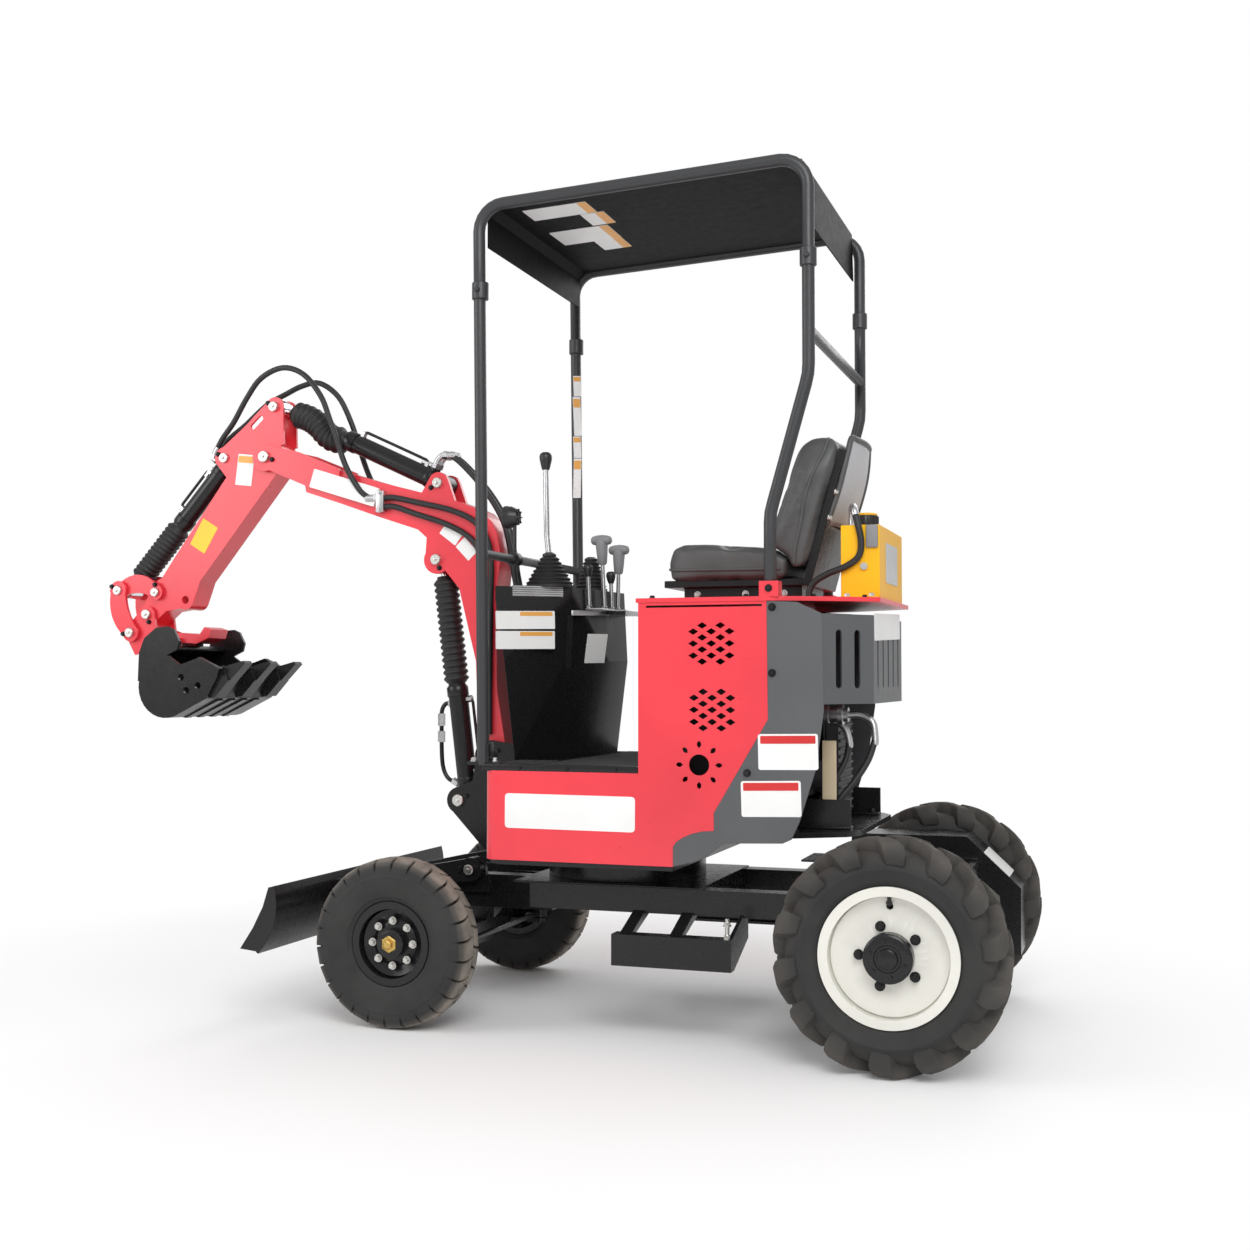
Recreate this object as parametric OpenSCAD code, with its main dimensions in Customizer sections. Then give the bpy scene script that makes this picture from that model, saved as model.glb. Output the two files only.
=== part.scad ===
// Small wheeled excavator with an open canopy, a dozer blade and a backhoe arm.
// Millimetres. Modules work from the rear axle: +X forward, +Y left, +Z up from the ground.
// place() then moves the part so that its box stands centred on the origin.

/* [Wheels] */
// distance between the rear and front axles
wheelbase = 1388; // [1370:1:1420]
// overall diameter of a rear tyre, to the tips of its lugs
rear_tyre_d = 584; // [520:1:640]
// width of a rear tyre
rear_tyre_w = 135; // [120:1:150]
// distance between the centres of the rear tyres
rear_track = 1053; // [1030:1:1090]
// overall diameter of a front tyre
front_tyre_d = 470; // [430:1:500]
// width of a front tyre
front_tyre_w = 116; // [95:1:125]
// distance between the centres of the front tyres
front_track = 900; // [880:1:940]
// diameter of the seat that a rear tyre's bead sits on
rear_rim_d = 310; // [290:1:330]
// diameter of the seat that a front tyre's bead sits on
front_rim_d = 204; // [190:1:220]
// height of a rear rim's flange over its seat
rear_flange = 18; // [14:1:22]
// height of a front rim's flange over its seat
front_flange = 14; // [10:1:18]
// lugs on each side of a rear tyre
lug_count = 17; // [12:1:20]
// height of a lug over the carcass
lug_h = 20; // [10:1:26]
// diameter of a wheel spindle
spindle_d = 50; // [40:1:56]

/* [Chassis] */
// top of the main rails
rail_top = 392; // [380:1:396]
// depth of the main rails
rail_h = 70; // [50:1:80]
// outer half width of the main rails
rail_y = 275; // [250:1:290]
// width of a main rail
rail_w = 62; // [50:1:80]
// outer half width of the front neck
neck_y = 150; // [130:1:160]
// thickness of chassis plates
chassis_t = 12; // [8:1:14]
// distance of a kingpin from the middle
kingpin_y = 345; // [335:1:355]
// diameter of a kingpin
kingpin_d = 32; // [24:1:36]
// length of a steering arm, to the tie rod
steer_arm = 110; // [90:1:125]
// top of the mudguards
guard_top = 505; // [490:1:508]
// thickness of mudguard plate
guard_t = 5; // [3:0.5:6]

/* [Slew] */
// slew axis, forward of the rear axle
slew_x = 860; // [840:1:880]
// outer radius of the slew ring
slew_r = 232; // [220:1:245]
// radius of the ring's bore
slew_bore_r = 165; // [150:1:180]
// underside of the turning platform
deck_z = 455; // [452:1:462]

/* [Platform] */
// half width over the side panels
body_y = 400; // [390:1:410]
// thickness of panel plate
panel_t = 4; // [3:0.5:6]
// top of the floor plate
floor_z = 728; // [720:1:740]
// front edge of the floor
floor_front = 1150; // [1140:1:1160]
// rear edge of the floor, where the seat box begins
seat_box_x = 695; // [680:1:710]
// underside of the seat deck
seat_deck_z = 1173; // [1165:1:1180]
// thickness of the seat deck
seat_deck_t = 12; // [8:1:14]
// rear face of the hood
hood_x = 86; // [80:1:95]
// half width of the hood's rear face
hood_y = 245; // [230:1:255]
// lower edge of the hood
hood_z = 902; // [890:1:915]
// inner distance between the plates that hold the boom
foot_gap = 112; // [108:1:116]
// thickness of the plates that hold the boom
foot_t = 20; // [16:1:24]

/* [Canopy] */
// diameter of the canopy tube
canopy_tube_d = 34; // [30:1:38]
// half width between the middles of the canopy's side tubes
canopy_y = 384; // [376:1:390]
// height of the front of the roof
canopy_front_z = 2322; // [2250:1:2360]
// height of the rear of the roof
canopy_rear_z = 2362; // [2290:1:2400]

/* [Seat and tank] */
// width of the seat
seat_w = 440; // [400:1:460]
// width of the tank
tank_w = 400; // [360:1:420]
// height of the tank
tank_h = 200; // [180:1:220]

/* [Boom and arm] */
// width of the boom
boom_w = 100; // [92:2:104]
// width of the dipper arm
dipper_w = 88; // [84:2:90]
// thickness of the boom's cheeks at its tip
cheek_t = 12; // [10:1:14]
// diameter of the boom foot pin
foot_pin_d = 40; // [32:1:44]
// diameter of the other pins of the arm
pin_d = 30; // [26:1:32]
// diameter of a cylinder barrel
barrel_d = 60; // [54:1:60]
// diameter of a cylinder rod
rod_d = 25; // [20:1:28]
// outer diameter of a rod's bellows
bellows_d = 78; // [70:1:84]

/* [Bucket and blade] */
// width of the bucket
bucket_w = 380; // [330:5:420]
// thickness of bucket plate
bucket_t = 10; // [8:1:12]
// teeth on the bucket
tooth_count = 3; // [3:1:5]
// half width of the dozer blade
blade_y = 540; // [500:1:560]
// thickness of the dozer blade
blade_t = 12; // [8:1:16]

// radius of a hose
hose_r = 9; // [7:0.5:10]

/* [Fits] */
// radial play of a pin in its bore
play = 0.05; // [0.02:0.01:0.1]
// space between parts that move past each other
gap = 5; // [5:0.5:8]

/* [Hidden] */
$fn = 48;
rear_r = rear_tyre_d / 2;
front_r = front_tyre_d / 2;
rear_y = rear_track / 2;
front_y = front_track / 2;
spindle_r = spindle_d / 2;
pin_r = pin_d / 2;
// half the space between the lugs that a cylinder sits in, and the width of its eyes
lug_in = barrel_d / 2 + gap;
eye_w = barrel_d;
// pivots of the arm, as [x, z]
O = [1275, 735];
Q = [2070, 1680];
CA = [1375, 600];
CB = [1465, 1335];
CD = [1462, 1572];
CE = [2047, 1843];
CG = [2233, 1686];
P1 = [2619, 1260];
P2 = [2483, 1252];
P3 = [2516, 1180];
P4 = [2569, 1120];
THUMB = [2377, 1226];
// pivots of the blade, as [x, z]
// front end of the chassis rails
rail_front = wheelbase - 328;
BP = [wheelbase - 107, 410];
BA = [wheelbase - 153, 340];
BB = [wheelbase + 290, 330];
link_eye_r = 32;
x_front = P1[0] + link_eye_r;
x_mid = (x_front - rear_r) / 2;
// colours
red = [0.85, 0.10, 0.13];
black = [0.05, 0.05, 0.06];
grey = [0.30, 0.31, 0.32];
steel = [0.62, 0.63, 0.65];
rubber = [0.09, 0.09, 0.09];
cream = [0.88, 0.86, 0.78];
yellow = [0.98, 0.78, 0.08];

module place() translate([-x_mid, 0, 0]) children();

// both sides of a symmetric piece
module sides() { children(); mirror([0, 1, 0]) children(); }

// a plate of [x, z] outline between two values of y
module plate_y(pts, y0, y1)
  translate([0, y1, 0]) rotate([90, 0, 0]) linear_extrude(y1 - y0) polygon(pts);

// a plate of [y, z] outline between two values of x
module plate_x(pts, x0, x1)
  translate([x0, 0, 0]) rotate([90, 0, 90]) linear_extrude(x1 - x0) polygon(pts);

module plate_z(pts, z0, z1)
  translate([0, 0, z0]) linear_extrude(z1 - z0) polygon(pts);

// a round bar across the part, at [x, z]
module bar_y(p, r, y0, y1)
  translate([p[0], y1, p[1]]) rotate([90, 0, 0]) cylinder(r = r, h = y1 - y0);

module block(x0, x1, y0, y1, z0, z1)
  translate([x0, y0, z0]) cube([x1 - x0, y1 - y0, z1 - z0]);

function arc(c, r, a0, a1, n = 8) =
  [for (i = [0 : n]) c + r * [cos(a0 + (a1 - a0) * i / n), sin(a0 + (a1 - a0) * i / n)]];

function ang(p, q) = atan2(q[1] - p[1], q[0] - p[0]);

// local +X runs from p to q, both [x, z]
module along(p, q) translate([p[0], 0, p[1]]) rotate([0, -ang(p, q), 0]) children();

// a round tube along local +X
module rod_x(r, x0, x1) translate([x0, 0, 0]) rotate([0, 90, 0]) cylinder(r = r, h = x1 - x0);

function unit(v) = v / norm(v);
function tangent(path, i) = let (n = len(path) - 1)
  unit(path[min(i + 1, n)] - path[max(i - 1, 0)]);

// a round tube swept along points; ref is a direction that the path never takes
module sweep(path, r, ref = [0, 1, 0], n = 10) {
  m = len(path);
  pts = [for (i = [0 : m - 1]) let (t = tangent(path, i), s = unit(cross(t, ref)), u = cross(s, t))
    for (k = [0 : n - 1]) path[i] + r * (cos(360 * k / n) * s + sin(360 * k / n) * u)];
  sides_f = [for (i = [0 : m - 2]) for (k = [0 : n - 1])
    [i * n + k, i * n + (k + 1) % n, (i + 1) * n + (k + 1) % n, (i + 1) * n + k]];
  polyhedron(pts, concat([[for (k = [n - 1 : -1 : 0]) k]], sides_f,
    [[for (k = [0 : n - 1]) (m - 1) * n + k]]));
}

// points of a smooth curve through p1 and p2, between neighbours p0 and p3
function smooth4(p0, p1, p2, p3, n) = [for (i = [0 : n - 1]) let (t = i / n)
  0.5 * (2 * p1 + (p2 - p0) * t + (2 * p0 - 5 * p1 + 4 * p2 - p3) * t * t
    + (3 * p1 - p0 - 3 * p2 + p3) * t * t * t)];
function smooth(p, n = 5) = let (m = len(p) - 1)
  concat([for (i = [0 : m - 1]) each smooth4(p[max(i - 1, 0)], p[i], p[i + 1], p[min(i + 2, m)], n)], [p[m]]);

module chassis_frame() color(black) place() {
  axle_pad = rear_r + 42;
  sides() {
    plate_y([[-132, axle_pad], [-132, 448], [170, 448], [320, rail_top], [rail_front, rail_top],
      [rail_front, rail_top - rail_h], [320, rail_top - rail_h], [170, axle_pad]], rail_y - rail_w, rail_y);
    difference() {
      union() {
        plate_y([[rail_front - 20, rail_top - 96], [rail_front - 20, rail_top], [wheelbase + 82, rail_top], [wheelbase + 82, rail_top - 60], [wheelbase + 52, rail_top - 96]],
          neck_y - 56, neck_y);
        // lug of the blade's pivot
        plate_y(concat([BP + [-46, -70], BP + [59, -70]], arc(BP, 34, 0, 180)), neck_y - 2, neck_y + 16);
      }
    }
    bar_y(BP, pin_r, neck_y + 10, neck_y + 58);
    // foot step
    step_y = 398;
    block(436, 768, step_y + 4, step_y + 14, 200, 284);
    block(436, 768, step_y - 34, step_y + 14, 276, 284);
    block(436, 768, step_y - 20, step_y + 14, 200, 208);
    plate_x([[step_y + 6, 200], [step_y - 20, 200], [rail_y - 50, 262], [rail_y - 50, 330], [rail_y - 2, 330], [step_y + 6, 284]], 436, 446);
    for (x = [576, 716])
      plate_x([[rail_y - 40, 330], [rail_y - 2, 330], [step_y - 4, 284], [step_y - 4, 277], [step_y - 32, 277], [rail_y - 40, 318]], x, x + 34);
  }
  difference() {
    block(560, rail_front + 50, -rail_y + 2, rail_y - 2, rail_top - 2, rail_top + 4);
    translate([slew_x, 0, rail_top - 20]) cylinder(r = slew_bore_r - 40, h = 60);
  }
  block(rail_front - 30, rail_front + 2, -rail_y + 1, rail_y - 1, rail_top - rail_h + 2, rail_top - 2);
  block(560, 590, -rail_y + 1, rail_y - 1, rail_top - rail_h + 2, rail_top - 2);
  block(-132, -112, -rail_y + 1, rail_y - 1, axle_pad + 8, 440);
  block(120, 160, -rail_y + 1, rail_y - 1, axle_pad + 8, 440);
  // bracket of the blade's cylinder
  sides() plate_y(concat([[rail_front + 2, 310], [rail_front + 2, 380], [BA[0], 380]], arc(BA, 34, 60, -90, 6)), lug_in, lug_in + 14);
  block(rail_front - 10, rail_front + 15, -neck_y + 2, neck_y - 2, 312, 378);
  bar_y(BA, pin_r, -lug_in - 12, lug_in + 12);
}

module slew_ring() color(steel) place() {
  translate([slew_x, 0, rail_top + 4]) difference() {
    cylinder(r = slew_r, h = deck_z - rail_top - 4 - 2 * gap);
    translate([0, 0, -1]) cylinder(r = slew_bore_r, h = 90);
    for (a = [0 : 30 : 359]) rotate(a) translate([slew_r - 22, 0, 20]) cylinder(d = 14, h = 90);
  }
}

// turned pieces about the rear axle: profile of [y, radius]
module turn_y(pts) rotate([-90, 0, 0]) rotate_extrude() polygon([for (p = pts) [p[1], p[0]]]);

module rear_axle() color(black) place() translate([0, 0, rear_r]) {
  hub = rear_y - 40;
  turn_y([[-hub, 0], [-hub, 62], [-hub + 26, 62], [-hub + 30, 42], [-170, 42], [-110, 92], [-60, 104],
    [60, 104], [110, 92], [170, 42], [hub - 30, 42], [hub - 26, 62], [hub, 62], [hub, 0]]);
  sides() {
    block(-62, 62, rail_y - rail_w, rail_y, -10, 42);
    bar_y([0, 0], spindle_r, hub - 5, rear_y + 36);
  }
}

module front_axle() color(black) place() translate([wheelbase, 0, 0]) {
  neck_z = rail_top - 96;
  boss_z = front_r - 40;
  beam_z = front_r - 85;
  difference() {
    union() {
      plate_x([[-kingpin_y, boss_z + 8], [-kingpin_y, boss_z + 72], [-kingpin_y + 50, boss_z + 66], [-neck_y - 10, beam_z + 65], [neck_y + 10, beam_z + 65],
        [kingpin_y - 50, boss_z + 66], [kingpin_y, boss_z + 72], [kingpin_y, boss_z + 8], [neck_y + 10, beam_z], [-neck_y - 10, beam_z]], -30, 30);
      sides() translate([0, kingpin_y, boss_z]) cylinder(r = 34, h = 80);
      // seats under the neck
      sides() block(-30, 30, neck_y - 56, neck_y, beam_z + 40, neck_z);
    }
    sides() translate([0, kingpin_y, boss_z - 1]) cylinder(r = kingpin_d / 2 + play, h = 90);
  }
}

module knuckle(pin_top) {
  boss_z = front_r - 40;
  ear = 14;
  for (z = [boss_z - gap - ear, boss_z + 80 + gap]) translate([0, 0, z]) linear_extrude(ear)
    polygon(concat(arc([0, kingpin_y], 30, 180, 360, 10), [[30, kingpin_y + 62], [-30, kingpin_y + 62]]));
  block(-30, 30, kingpin_y + 40, kingpin_y + 62, boss_z - gap - ear, boss_z + 80 + gap + ear);
  translate([0, kingpin_y, boss_z - gap - 2]) cylinder(d = kingpin_d, h = 80 + 2 * gap + 4);
  bar_y([0, front_r], spindle_r, kingpin_y + 50, front_y + 24);
  // steering arm
  translate([0, 0, boss_z - gap - ear]) linear_extrude(ear) polygon(concat(
    [[-10, kingpin_y + 22], [-10, kingpin_y - 22]], arc([-steer_arm, kingpin_y], 20, 270, 90, 8)));
  translate([-steer_arm, kingpin_y, boss_z - gap - 4]) cylinder(r = 10, h = gap + 4 + pin_top);
}

module left_knuckle() color(steel) place() translate([wheelbase, 0, 0]) knuckle(26);
module right_knuckle() color(steel) place() translate([wheelbase, 0, 0]) mirror([0, 1, 0]) knuckle(26);

module tie_rod() color(steel) place() translate([wheelbase - steer_arm, 0, front_r - 40]) {
  y = kingpin_y;
  difference() {
    union() {
      translate([0, y, 0]) cylinder(r = 22, h = 22);
      translate([0, -y, 0]) cylinder(r = 26, h = 22);
      bar_y([0, 11], 9, -y, y);
    }
    translate([0, y, -1]) cylinder(r = 10 + play, h = 40);
    translate([0, -y, -1]) cylinder(r = 10 + gap + 2, h = 40);
  }
}

module mudguards() color(black) place() sides() {
  t = guard_t;
  plate_y([[243, guard_top], [-111, guard_top], [-201, 357], [-253, 174], [-253 + t, 172], [-201 + t + 1, 355],
    [-109 + t / 2, guard_top - t], [243, guard_top - t]], rail_y, rear_y - rear_tyre_w / 2 - 19);
  plate_y([[200, guard_top - 1], [-90, guard_top - 1], [-70, 410], [170, 410]], rail_y, rail_y + t);
}

// rows across half a lugged tyre, from its middle: [y, radius, radius on a lug, turn of the lug]
bead_y = 0.66 * rear_tyre_w / 2;
function lug_half() = let (r = rear_r, w = rear_tyre_w / 2, b = rear_rim_d / 2 / cos(180 / (4 * lug_count)), h = lug_h) [
  [0.08 * w, r - h, r, 0], [0.88 * w, r - h - 5, r - 5, 15], [0.98 * w, r - 34, r - 26, 18], [w, r - 66, r - 66, 20],
  [0.86 * w, b + 32, b + 32, 20], [bead_y, b + rear_flange + 1, b + rear_flange + 1, 20], [bead_y, b, b, 20]];
function lug_rows() = let (q = lug_half(), n = len(q)) concat(
  [for (i = [n - 1 : -1 : 0]) [-q[i][0], q[i][1], q[i][2], q[i][3]]], [[0, rear_r - lug_h, rear_r - lug_h, 0]], q);

module lugged_tyre() {
  rows = lug_rows();
  n = len(rows);
  m = 4 * lug_count;
  pitch = 360 / lug_count;
  steps = [0, 0.10, 0.34, 0.44];
  pts = [for (j = [0 : n - 1]) for (k = [0 : m - 1])
    let (q = k % 4, row = rows[j], r = (q == 1 || q == 2) ? row[2] : row[1],
      shift = row[0] > 0 ? 0.5 : row[0] < 0 ? 0 : 0.25,
      a = -90 + pitch * (floor(k / 4) + steps[q] - steps[1] + shift) + row[3])
    [r * cos(a), row[0], r * sin(a)]];
  polyhedron(pts, [for (j = [0 : n - 1]) for (k = [0 : m - 1])
    let (j2 = (j + 1) % n, k2 = (k + 1) % m) each
    [[j * m + k, j2 * m + k2, j * m + k2], [j * m + k, j2 * m + k, j2 * m + k2]]]);
}

module rear_left_tyre() color(rubber) place() translate([0, rear_y, rear_r]) lugged_tyre();
module rear_right_tyre() color(rubber) place() translate([0, -rear_y, rear_r]) mirror([0, 1, 0]) lugged_tyre();

module front_tyre() {
  r = front_r; w = front_tyre_w / 2; b = front_rim_d / 2;
  half = [[0.62, b], [0.62, b + front_flange + 1], [0.82, b + 28], [0.97, b + 46], [1, b + 74], [0.97, r - 34], [0.93, r - 20], [0.80, r - 7],
    [0.58, r - 2], [0.56, r - 12], [0.46, r - 12], [0.44, r - 1], [0.10, r], [0.08, r - 10]];
  turn_y(concat([for (p = half) [p[0] * w, p[1]]],
    [for (i = [len(half) - 1 : -1 : 0]) [-half[i][0] * w, half[i][1]]]));
}
module front_left_tyre() color(rubber) place() translate([wheelbase, front_y, front_r]) front_tyre();
module front_right_tyre() color(rubber) place() translate([wheelbase, -front_y, front_r]) front_tyre();

// a pressed rim: rim of a wheel with its disc set out by "out", +Y outside
module rim(seat_r, w, out, hub_r, hub_out, flange) {
  t = 6;
  difference() {
    union() {
      turn_y([[-w, seat_r + flange], [-w - t, seat_r + flange], [-w - t, seat_r - t], [-w * 0.45, seat_r - t],
        [-w * 0.35, seat_r - 2.2 * t], [out - 10, seat_r - 2.2 * t], [out - 22, seat_r * 0.62], [out - 12, hub_r + 6], [out - 12, 0],
        [out, 0], [out, hub_r + 8], [out - 10, seat_r * 0.62 + 2], [out, seat_r - 2.2 * t + 3], [w * 0.4, seat_r - t], [w + t, seat_r - t], [w + t, seat_r + flange],
        [w, seat_r + flange], [w, seat_r], [-w, seat_r]]);
      bar_y([0, 0], hub_r, -6, hub_out);
    }
    bar_y([0, 0], spindle_r + play, -100, hub_out - 12);
  }
}
module rear_rim() difference() {
  rim(rear_rim_d / 2, bead_y, 24, 52, 56, rear_flange);
  // hole for the valve
  bar_y([0, rear_rim_d / 2 * 0.62 + 26], 9, -80, 80);
}
module rear_left_rim() color(cream) place() translate([0, rear_y, rear_r]) rear_rim();
module rear_right_rim() color(cream) place() translate([0, -rear_y, rear_r]) mirror([0, 1, 0]) rear_rim();
module front_rim() {
  rim(front_rim_d / 2, front_tyre_w / 2 * 0.62, 20, 40, 44, front_flange);
  for (a = [0 : 45 : 359]) rotate([0, a, 0]) bar_y([0, 62], 7, 8, 24);
}
module front_left_rim() color(black) place() translate([wheelbase, front_y, front_r]) front_rim();
module front_right_rim() color(black) place() translate([wheelbase, -front_y, front_r]) mirror([0, 1, 0]) front_rim();

module blade() color(black) place() {
  c = [wheelbase + 522, 330];
  plate_y(concat(arc(c, 178, 163, 226, 10), [c + [-73, -125], c + [-124, -130]], arc(c, 178 + blade_t, 226, 163, 10)),
    -blade_y, blade_y);
  sides() {
    difference() {
      plate_y(concat(arc(BP, 34, 60, 270, 12), [c + [-429, 20], c + [-302, -12], c + [-186, -50], c + [-186, 32], c + [-302, 46], c + [-429, 74]]),
        neck_y + 16 + gap, neck_y + 16 + gap + 28);
      bar_y(BP, pin_r + play, neck_y, neck_y + 80);
    }
    // lugs of the blade's cylinder
    plate_y(concat(arc(BB, 32, 90, 270, 8), [BB + [46, -46], BB + [46, 46]]), lug_in + gap, lug_in + gap + 14);
    bar_y(BB, pin_r, lug_in + gap - 3, lug_in + gap + 20);
  }
  sides() bar_y(BB + [-20, -5], 24, lug_in + gap + 10, neck_y + 30);
}

// barrel of a cylinder along local +X: eye, tube and gland
module barrel(l, eye_w, pr, ports = [[54, 0]]) {
  difference() {
    union() {
      bar_y([0, 0], pr + 14, -eye_w / 2, eye_w / 2);
      rod_x(barrel_d / 2, 24, l);
      rod_x(barrel_d / 2 + 3, l - 34, l - 6);
    }
    bar_y([0, 0], pr + play, -eye_w, eye_w);
    rod_x(barrel_d / 2 - 7, 44, l - 26);
    rod_x(rod_d / 2 + play, l - 40, l + 10);
  }
  for (q = concat(ports, [[l - 46, 0]])) translate([q[0], q[1], barrel_d / 2 - 6]) cylinder(r = 8, h = 18);
}
// rod of a cylinder: from x0 inside the barrel to the eye at l
module piston_rod(x0, l, eye_w, pr) difference() {
  union() {
    rod_x(rod_d / 2, x0, l - 8);
    bar_y([l, 0], pr + 12, -eye_w / 2, eye_w / 2);
  }
  bar_y([l, 0], pr, -eye_w, eye_w);
}
// bellows over a rod, from x0 to x1
module bellows(x0, x1, folds = 12) {
  ro = bellows_d / 2; ri = ro - 7; rc = barrel_d / 2 - 4; bore = rod_d / 2 + 0.5; rin = ri - 5; p = (x1 - x0 - 28) / folds;
  rotate([0, 90, 0]) rotate_extrude() polygon(concat(
    [[bore, x0], [rc, x0], [rc, x0 + 10], [ri, x0 + 14]],
    [for (i = [0 : folds - 1]) each [[ro - 1, x0 + 14 + p * (i + 0.3)], [ro, x0 + 14 + p * (i + 0.5)], [ro - 1, x0 + 14 + p * (i + 0.7)], [ri, x0 + 14 + p * (i + 1)]]],
    [[rc, x1 - 10], [rc, x1], [bore, x1], [bore, x1 - 8], [rin, x1 - 18], [rin, x0 + 18], [bore, x0 + 8]]));
}
// bellows that sag to an S between x0 and x1, hollow over the rod
module sagging_bellows(x0, x1, folds, sag) {
  n = 20; k = 2 * folds + 2; ro = bellows_d / 2 + 4;
  function mid(t) = [x0 + (x1 - x0) * t, 0, -sag * sin(360 * t) * (t < 0.5 ? 1 : 0.55)];
  function ring(t, r) = [for (i = [0 : n - 1]) mid(t) + r * [0, cos(360 * i / n), sin(360 * i / n)]];
  outer = [for (j = [0 : k]) let (t = j / k) each ring(t, j == 0 || j == k ? barrel_d / 2 - 4 : j % 2 == 1 ? ro - 8 : ro)];
  inner = [for (j = [0 : k]) let (t = j / k) each ring(t, j == 0 || j == k ? rod_d / 2 + 0.5 : j == 1 || j == k - 1 ? (ro + rod_d / 2) / 2 - 4 : ro - 12)];
  m = (k + 1) * n;
  polyhedron(concat(outer, inner), concat(
    [for (j = [0 : k - 1]) for (i = [0 : n - 1]) let (i2 = (i + 1) % n) each
      [[j * n + i, (j + 1) * n + i2, j * n + i2], [j * n + i, (j + 1) * n + i, (j + 1) * n + i2]]],
    [for (j = [0 : k - 1]) for (i = [0 : n - 1]) let (i2 = (i + 1) % n) each
      [[m + j * n + i, m + j * n + i2, m + (j + 1) * n + i2], [m + j * n + i, m + (j + 1) * n + i2, m + (j + 1) * n + i]]],
    [for (i = [0 : n - 1]) let (i2 = (i + 1) % n) each [[i, i2, m + i2], [i, m + i2, m + i]]],
    [for (i = [0 : n - 1]) let (i2 = (i + 1) % n, e = k * n) each [[e + i, m + e + i2, e + i2], [e + i, m + e + i, m + e + i2]]]));
}

blade_barrel_l = 270;
boom_barrel_l = 350;
arm_barrel_l = 376;
bucket_barrel_l = 286;

module blade_barrel() color(black) place() along(BA, BB) barrel(blade_barrel_l, eye_w, pin_r);
module blade_rod() color(steel) place() along(BA, BB) piston_rod(150, norm(BB - BA), eye_w, pin_r);
module boom_barrel() color(black) place() along(CA, CB) barrel(boom_barrel_l, 84, 17);
module boom_rod() color(steel) place() along(CA, CB) piston_rod(262, norm(CB - CA), eye_w, pin_r);
module boom_bellows() color(rubber) place() along(CA, CB) bellows(boom_barrel_l, norm(CB - CA) - 50, 16);
module arm_barrel() color(black) place() along(CD, CE) barrel(arm_barrel_l, eye_w, pin_r, [[48, -14], [48, 14]]);
module arm_rod() color(steel) place() along(CD, CE) piston_rod(170, norm(CE - CD), eye_w, pin_r);
module arm_bellows() color(rubber) place() along(CD, CE) sagging_bellows(arm_barrel_l, norm(CE - CD) - 50, 9, 17);
module bucket_barrel() color(black) place() along(CG, P1) barrel(bucket_barrel_l, eye_w, pin_r, [[36, -13], [36, 13]]);
module bucket_rod() color(steel) place() along(CG, P1) piston_rod(205, norm(P1 - CG), eye_w, 13);
module bucket_bellows() color(rubber) place() along(CG, P1) bellows(bucket_barrel_l, norm(P1 - CG) - 50, 13);

module platform_frame() color(black) place() {
  // turning base, with the spigot that runs in the slew ring
  translate([slew_x, 0, rail_top + 12]) cylinder(r = slew_bore_r - play, h = deck_z - rail_top - 10);
  plate_z([[600, -body_y + panel_t + 1], [600, body_y - panel_t - 1], [floor_front - corner_r - 4, body_y - panel_t - 1], [floor_front - panel_t - 2, body_y - corner_r - 4], [floor_front - panel_t - 2, -body_y + corner_r + 4], [floor_front - corner_r - 4, -body_y + panel_t + 1]], deck_z, deck_z + 16);
  // tail floor, over the rear tyres and mudguards
  plate_z([[612, -body_y + panel_t + 1], [612, body_y - panel_t - 1], [300, body_y - panel_t - 1], [150, 300], [120, 245], [120, -245], [150, -300], [300, -body_y + panel_t + 1]], 552, 566);
  block(600, 614, -body_y + panel_t + 1, body_y - panel_t - 1, deck_z, 566);
  // front wall of the seat box and posts of the floor
  block(seat_box_x - 8, seat_box_x, -body_y + panel_t + 1, body_y - panel_t - 1, deck_z + 10, seat_deck_z);
  block(floor_front - 20, floor_front - 10, -body_y + corner_r, body_y - corner_r, deck_z + 10, floor_z - 13);
  sides() {
    block(330, 366, body_y - 60, body_y - panel_t, 560, seat_deck_z);
    // plates that hold the boom and its cylinder
    difference() {
      plate_y(concat([[980, deck_z + 10], [980, 640], [floor_front - 5, floor_z - 14], [floor_front + 8, floor_z - 14], [floor_front + 34, 770]],
        arc(O, 48, 100, -20, 8), [[1330, 660]], arc(CA, 40, 70, -60, 8), [[1290, deck_z], [1200, deck_z]]),
        foot_gap / 2, foot_gap / 2 + foot_t);
    }
  }
  // bracket under the hood
  sides() block(150, 290, 236, 246, 560, 645);
  bar_y(O, foot_pin_d / 2, -foot_gap / 2 - foot_t - 6, foot_gap / 2 + foot_t + 6);
  bar_y(CA, 17, -foot_gap / 2 - foot_t - 6, foot_gap / 2 + foot_t + 6);
}

// radius of the red panels' front corners
corner_r = 36;
// seam between the red and the grey side panels
seam = [[338, 862], [485, 614], [485, 567], [515, 565], [545, 558], [570, 547], [588, 535], [598, 521]];
red_outline = concat([[598, 468], [floor_front - corner_r, 468], [floor_front - corner_r, floor_z - 14], [seat_box_x, floor_z - 14], [seat_box_x, seat_deck_z],
  [341, seat_deck_z]], seam);
grey_outline = concat([for (i = [len(seam) - 1 : -1 : 0]) seam[i]], [[341, seat_deck_z], [259, seat_deck_z - 5], [194, 1138], [190, 886], [211, 735],
  [254, 598], [276, 551], [300, 540], [457, 535], [522, 489], [598, 468]]);

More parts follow.
